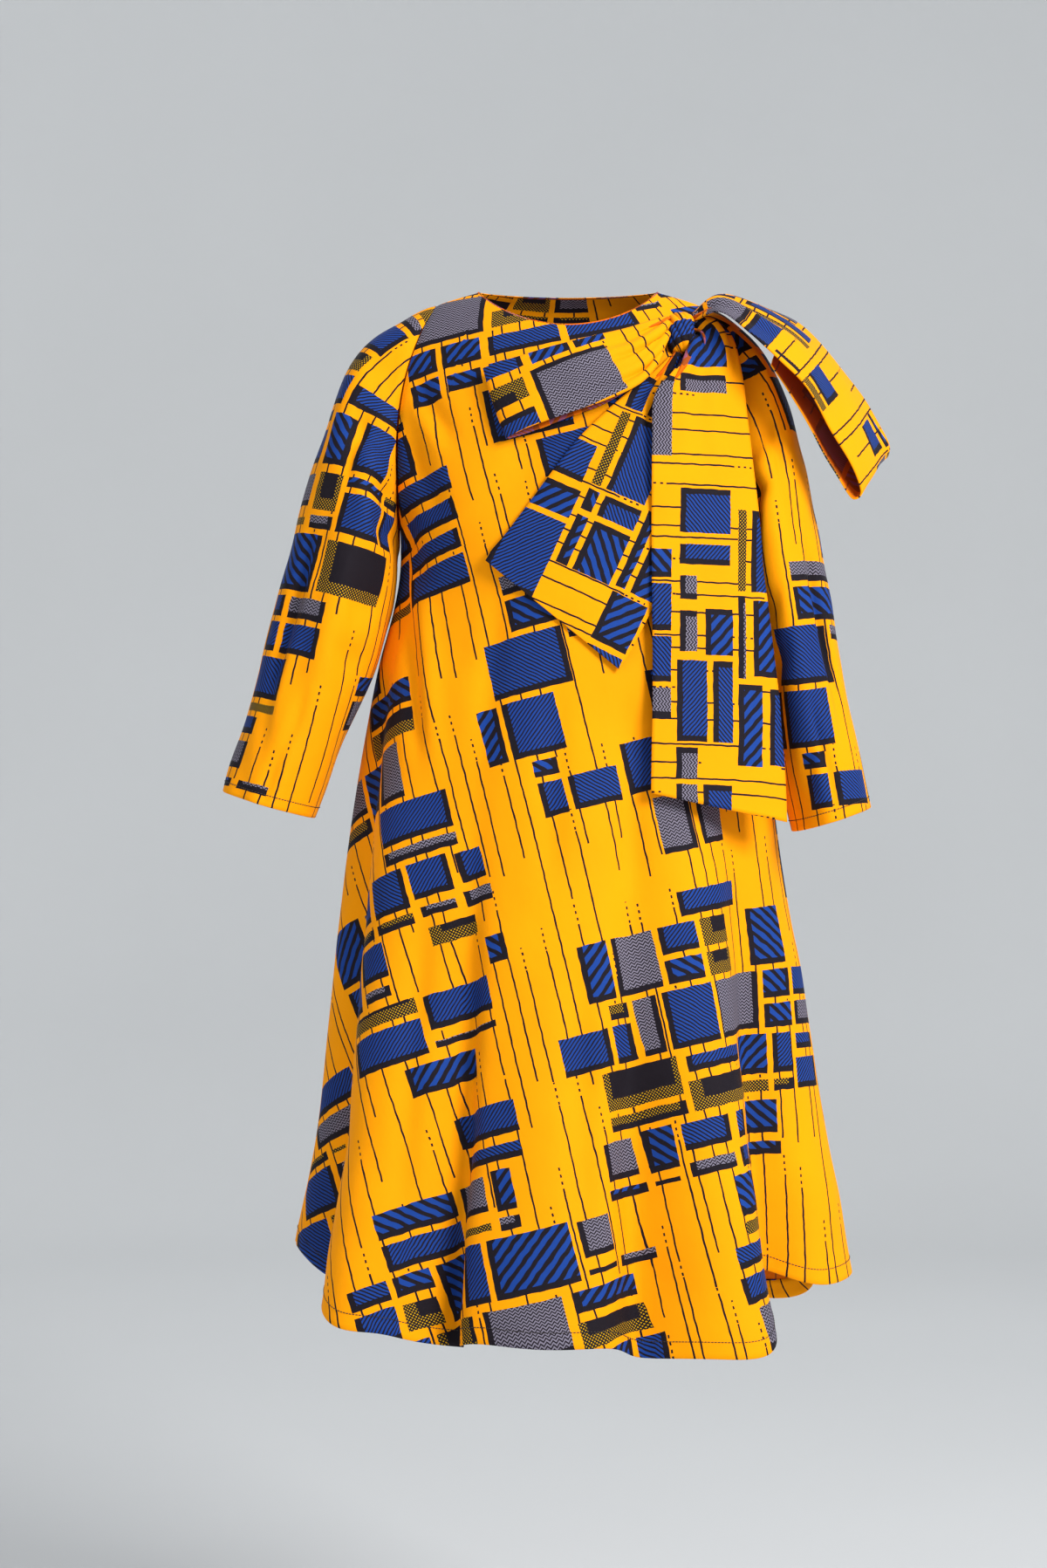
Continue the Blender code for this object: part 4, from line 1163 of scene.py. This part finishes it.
def make_panel(node, back, across, table):
    """The front or the back of the dress."""
    u, v = np.meshgrid(across_share(across), down_share())
    points = panel(u, v, back)
    if back:
        points = points[:, ::-1]
    x, z = points[..., 0], points[..., 2]
    hold = np.minimum(run_from(points, 1), run_from(points, 1, last=True))
    top = run_from(points, 0)
    seed = BACK_SEED if back else FRONT_SEED
    amount = (creases(x, z, table) + unevenness(x, z, PANEL_UNEVEN, seed)) * step(*TOP_CALM, top)
    amount = amount * step(0, SIDE_CALM, hold) + dip(hold)
    shoulder = np.abs(x[0]) >= NECK_HALF
    amount += dip(top) * shoulder
    points = points + outward(points) * amount[..., None]
    return cloth_piece(node, turned_up(points, TURN_ROWS), kink=ROWS_ABOVE)


def make_sleeve(node, table, side):
    """A sleeve, with its seam under the arm."""
    turn, along = np.meshgrid(np.roll(round_share(), -ROWS_ABOVE), lengthwise_share())
    if side > 0:
        turn = np.roll(turn[:, ::-1], 1, axis=1)
    points = sleeve(turn, along, table, side)
    run = run_from(points, 0)
    amount = creases(turn * SLEEVE_RADIUS, run, SLEEVE_FLAT_CREASES)
    uneven = unevenness(run, np.cos(turn) * SLEEVE_RADIUS, SLEEVE_UNEVEN, SLEEVE_SEED + side)
    amount += uneven * step(0, SLEEVE_CALM, run) + dip(run)
    points = points + outward(points, True) * amount[..., None]
    return cloth_piece(node, turned_up(points, TURN_ROWS, True), closed=True)


def pulled(t, far, seed):
    """The gathers of a bow piece, which start at the knot and fade out along it at their own lengths."""
    draw = np.random.default_rng(seed)
    height = np.zeros(t.shape)
    for number in range(PULLS):
        middle = (number + draw.uniform(*PULL_PLACE)) / PULLS
        length = draw.uniform(*PULL_LENGTH)
        deep = PULL_DEPTH * draw.uniform(*PULL_SHARE)
        fade = 1 - step(PULL_HOLD * length, length, far)
        height += deep * np.exp(-(((t - middle) / PULL_WIDTH) ** 2)) * fade
    return height


def lengthwise_share():
    """Places along a sleeve, closest at the armhole, with rows at its turned cuff."""
    even = turned_end(SLEEVE_ALONG, CUFF_TURN / SLEEVE_LENGTH)
    return np.concatenate([[0, EDGE_CELL], even[1:]])


def make_facing():
    """The band turned in behind the neck edge, with its right side to the neck."""
    rows = np.linspace(0, 1, FACING_DOWN + 1) ** FACING_POWER
    turn, share = np.meshgrid(np.linspace(0, 2 * np.pi, FACING_ROUND + 1)[:-1], rows)
    ring = facing(turn, share)
    behind = FACING_EDGE + (FACING_BEHIND - FACING_EDGE) * step(0, FACING_STEP, share) + FACING_SLACK * share
    ring = ring - outward(ring, True) * behind[..., None]
    return cloth_piece("neck_facing", ring[:, ::-1], closed=True)


def make_strip(node, place, table):
    """A loop or a tail of the bow."""
    t, along = np.meshgrid(np.linspace(0, 1, BOW_ACROSS + 1), np.linspace(0, 1, BOW_ALONG + 1))
    points = place(t, along, table)
    if place is free_strip:
        points = points[:, ::-1]
    far = run_from(points, 0)
    seed = len(node)
    uneven = unevenness(far, t * BOW_WIDTH, BOW_UNEVEN, seed, *BOW_WAVES)
    amount = uneven * step(0, BOW_CALM, far) + pulled(t, far, seed)
    points = points + outward(points) * amount[..., None]
    return cloth_piece(node, points, side=0, thick=DOUBLE)


def knot_seat():
    """(place, tilt) of the knot: just clear of the front piece, leaning back as the chest does."""
    heights = KNOT_Z + np.array([-0.5, 0, 0.5]) * KNOT_HALF[2]
    chest = body(np.arcsin(KNOT_X / half_width(heights, 1)), heights, False)
    rise = chest[2] - chest[0]
    tilt = np.arctan2(rise[1], rise[2])
    off = KNOT_HALF[1] * (1 + KNOT_PLEAT_DEPTH) + KNOT_SEAT
    return chest[1] + off * np.array([0, -np.cos(tilt), np.sin(tilt)]), tilt


def make_knot():
    """The cloth wrapped round the middle of the bow, pleated upright and tucked in at both ends."""
    rows = np.linspace(KNOT_END, np.pi - KNOT_END, KNOT_DOWN + 1)
    turn, down = np.meshgrid(np.linspace(np.pi, 3 * np.pi, KNOT_ROUND + 1)[:-1], rows)
    z = np.cos(down)
    pleat = np.abs(np.sin(KNOT_PLEATS * (turn + KNOT_TWIST * z) / 2)) ** KNOT_PLEAT_POWER
    size = np.sin(down) ** KNOT_BLUNT * np.sqrt(1 + z**2) * (1 + KNOT_FOLD * (pleat - 1))
    back = KNOT_BEND * z**2 - size * KNOT_HALF[1] * np.cos(turn)
    flat = np.stack([size * KNOT_HALF[0] * np.sin(turn), back, z * KNOT_HALF[2]], axis=-1)
    seat, tilt = knot_seat()
    lean = np.array([[1, 0, 0], [0, np.cos(tilt), np.sin(tilt)], [0, -np.sin(tilt), np.cos(tilt)]])
    return cloth_piece("bow_knot", flat @ lean.T + seat, closed=True, face=KNOT_SIDE)


def stitch_maker():
    """Geometry nodes that set stitches along a curve."""
    tree = bpy.data.node_groups.new("stitches", "GeometryNodeTree")
    tree.interface.new_socket("Run", in_out="INPUT", socket_type="NodeSocketGeometry")
    for title in ("Pitch", "Length", "Width"):
        tree.interface.new_socket(title, in_out="INPUT", socket_type="NodeSocketFloat")
    tree.interface.new_socket("Thread", in_out="INPUT", socket_type="NodeSocketMaterial")
    tree.interface.new_socket("Stitches", in_out="OUTPUT", socket_type="NodeSocketGeometry")
    given = tree.nodes.new("NodeGroupInput")
    points = tree.nodes.new("GeometryNodeCurveToPoints")
    points.mode = "LENGTH"
    stitch = tree.nodes.new("GeometryNodeMeshUVSphere")
    stitch.inputs["Segments"].default_value = STITCH_SIDES
    stitch.inputs["Rings"].default_value = STITCH_RINGS
    stitch.inputs["Radius"].default_value = 0.5
    size = tree.nodes.new("ShaderNodeCombineXYZ")
    shaped = tree.nodes.new("GeometryNodeTransform")
    placed = tree.nodes.new("GeometryNodeInstanceOnPoints")
    real = tree.nodes.new("GeometryNodeRealizeInstances")
    finish_it = tree.nodes.new("GeometryNodeSetMaterial")
    out = tree.nodes.new("NodeGroupOutput")
    for source, socket in (
        (given.outputs["Run"], points.inputs["Curve"]),
        (given.outputs["Pitch"], points.inputs["Length"]),
        (given.outputs["Width"], size.inputs["X"]),
        (given.outputs["Width"], size.inputs["Y"]),
        (given.outputs["Length"], size.inputs["Z"]),
        (stitch.outputs["Mesh"], shaped.inputs["Geometry"]),
        (size.outputs["Vector"], shaped.inputs["Scale"]),
        (points.outputs["Points"], placed.inputs["Points"]),
        (points.outputs["Rotation"], placed.inputs["Rotation"]),
        (shaped.outputs["Geometry"], placed.inputs["Instance"]),
        (placed.outputs["Instances"], real.inputs["Geometry"]),
        (real.outputs["Geometry"], finish_it.inputs["Geometry"]),
        (given.outputs["Thread"], finish_it.inputs["Material"]),
        (finish_it.outputs["Geometry"], out.inputs["Stitches"]),
    ):
        tree.links.new(source, socket)
    return tree


def make_stitches(name, line, closed=False):
    """A row of stitches along a line of points, as one plain mesh."""
    curve = bpy.data.curves.new(name + "_run", "CURVE")
    curve.dimensions = "3D"
    spline = curve.splines.new("POLY")
    spline.points.add(len(line) - 1)
    spline.points.foreach_set("co", np.column_stack([line, np.ones(len(line))]).ravel())
    spline.use_cyclic_u = closed
    run = add_object(name + "_run", curve)
    maker = run.modifiers.new("stitches", "NODES")
    maker.node_group = STITCHES
    values = {"Pitch": STITCH_PITCH, "Length": STITCH_LENGTH, "Width": STITCH_WIDTH, "Thread": THREAD_FINISH}
    for item in STITCHES.interface.items_tree:
        if item.in_out == "INPUT" and item.name in values:
            maker[item.identifier] = values[item.name]
    bpy.context.view_layer.update()
    mesh = bpy.data.meshes.new_from_object(run.evaluated_get(bpy.context.evaluated_depsgraph_get()))
    mesh.name = name
    mesh.shade_smooth()
    bpy.data.objects.remove(run, do_unlink=True)
    bpy.data.curves.remove(curve)
    stitches = add_object(name, mesh)
    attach(stitches, "root")
    return stitches


def hem_line(piece, columns, closed=False):
    """The line along which a turned-up edge is stitched, on the outer face: the turn's top row."""
    mesh = piece.data
    points = np.zeros(len(mesh.vertices) * 3)
    mesh.vertices.foreach_get("co", points)
    grid = points.reshape(-1, columns, 3)
    row = len(grid) - 2 - 2 * TURN_ROWS
    return (grid + outward(grid, closed) * STITCH_WIDTH * STITCH_PROUD)[row]


def make_stage():
    """A pale round floor that sweeps up into a wall all round, so that every side has it behind."""
    bend = np.linspace(0, np.pi / 2, SWEEP_ROWS)
    far = np.concatenate([[FLOOR_MIDDLE], FLOOR_RADIUS + SWEEP * np.sin(bend), [FLOOR_RADIUS + SWEEP]])
    high = np.concatenate([[FLOOR], FLOOR + SWEEP * (1 - np.cos(bend)), [WALL_TOP]])
    turn = np.linspace(0, 2 * np.pi, STUDIO_SIDES, endpoint=False)
    points = [(r * np.cos(t), r * np.sin(t), z) for r, z in zip(far, high) for t in turn]
    faces = []
    for row in range(len(far) - 1):
        for i in range(STUDIO_SIDES):
            here, there = row * STUDIO_SIDES, (row + 1) * STUDIO_SIDES
            j = (i + 1) % STUDIO_SIDES
            faces.append((here + i, there + i, there + j, here + j))
    mesh = bpy.data.meshes.new("studio")
    mesh.from_pydata(points, [], faces)
    mesh.materials.append(plain("studio paper", PALE, roughness=0.85, fineness=1.2))
    mesh.shade_smooth()
    studio = add_object("studio", mesh)


def make_lights():
    """A soft key light on the right, weaker ones left, above and behind, and even light all round."""
    for name, place, size, power in LIGHTS:
        lamp = bpy.data.lights.new(name, "AREA")
        lamp.size = size
        lamp.energy = power
        light = add_object(name, lamp)
        light.location = place
        light.visible_camera = False
        aim = LOOK_AT - np.array(place)
        light.rotation_euler = Vector(aim).to_track_quat("-Z", "Y").to_euler()
    world = bpy.data.worlds.new("studio air")
    world.use_nodes = True
    air = world.node_tree.nodes["Background"]
    air.inputs["Color"].default_value = AIR_COLOUR
    air.inputs["Strength"].default_value = AIR
    bpy.context.scene.world = world


def make_camera():
    """The camera at the photograph's place, level, looking along +Y."""
    view = bpy.data.cameras.new("view")
    view.sensor_width = SENSOR
    view.lens = SENSOR * CAMERA_AWAY / FRAME_HEIGHT
    view.shift_x, view.shift_y = CAMERA_SHIFT
    camera = add_object("view", view)
    camera.location = (0.0, -CAMERA_AWAY, CAMERA_HEIGHT)
    camera.rotation_euler = (np.pi / 2, 0.0, 0.0)
    bpy.context.scene.camera = camera


SLEEVE_FLAT_CREASES = [
    (name, np.radians(turn) * SLEEVE_RADIUS, down, np.radians(to_turn) * SLEEVE_RADIUS, to_down, width, deep)
    for name, turn, down, to_turn, to_down, width, deep in SLEEVE_CREASES
]
PRINT = block_print()
WEAVE = woven_cotton()
RIGHT_SIDE = cotton("printed cotton", AMBER, fading=0.0)
KNOT_SIDE = cotton("printed cotton of the knot", AMBER, fading=0.0, cluster_reach=4.0, blue_share=2.0)
WRONG_SIDE = cotton("printed cotton, wrong side", AMBER_INSIDE, WRONG_SIDE_FADING)
THREAD_FINISH = plain("sewing thread", THREAD, roughness=0.6, fineness=900.0)
STITCHES = stitch_maker()

bpy.context.scene.view_settings.view_transform = "Standard"
make_camera()
make_stage()
make_lights()

pieces = {
    "front_panel": make_panel("front_panel", False, FRONT_ACROSS, FRONT_CREASES),
    "back_panel": make_panel("back_panel", True, BACK_ACROSS, BACK_CREASES),
    "sleeve_right": make_sleeve("sleeve_right", SLEEVE_MINUS, -1),
    "sleeve_left": make_sleeve("sleeve_left", SLEEVE_PLUS, 1),
    "neck_facing": make_facing(),
    "bow_knot": make_knot(),
    "bow_loop_inner": make_strip("bow_loop_inner", hanging_strip, LOOP_INNER),
    "bow_tail_short": make_strip("bow_tail_short", hanging_strip, TAIL_SHORT),
    "bow_tail_long": make_strip("bow_tail_long", hanging_strip, TAIL_LONG),
    "bow_loop_outer": make_strip("bow_loop_outer", free_strip, LOOP_OUTER),
}
for node, row_name, columns, closed in (
    ("front_panel", "hem_stitches_front", len(across_share(FRONT_ACROSS)), False),
    ("back_panel", "hem_stitches_back", len(across_share(BACK_ACROSS)), False),
    ("sleeve_right", "cuff_stitches_right", len(round_share()), True),
    ("sleeve_left", "cuff_stitches_left", len(round_share()), True),
):
    make_stitches(row_name, hem_line(pieces[node], columns, closed), closed)
for node, piece in pieces.items():
    finish(piece, node)
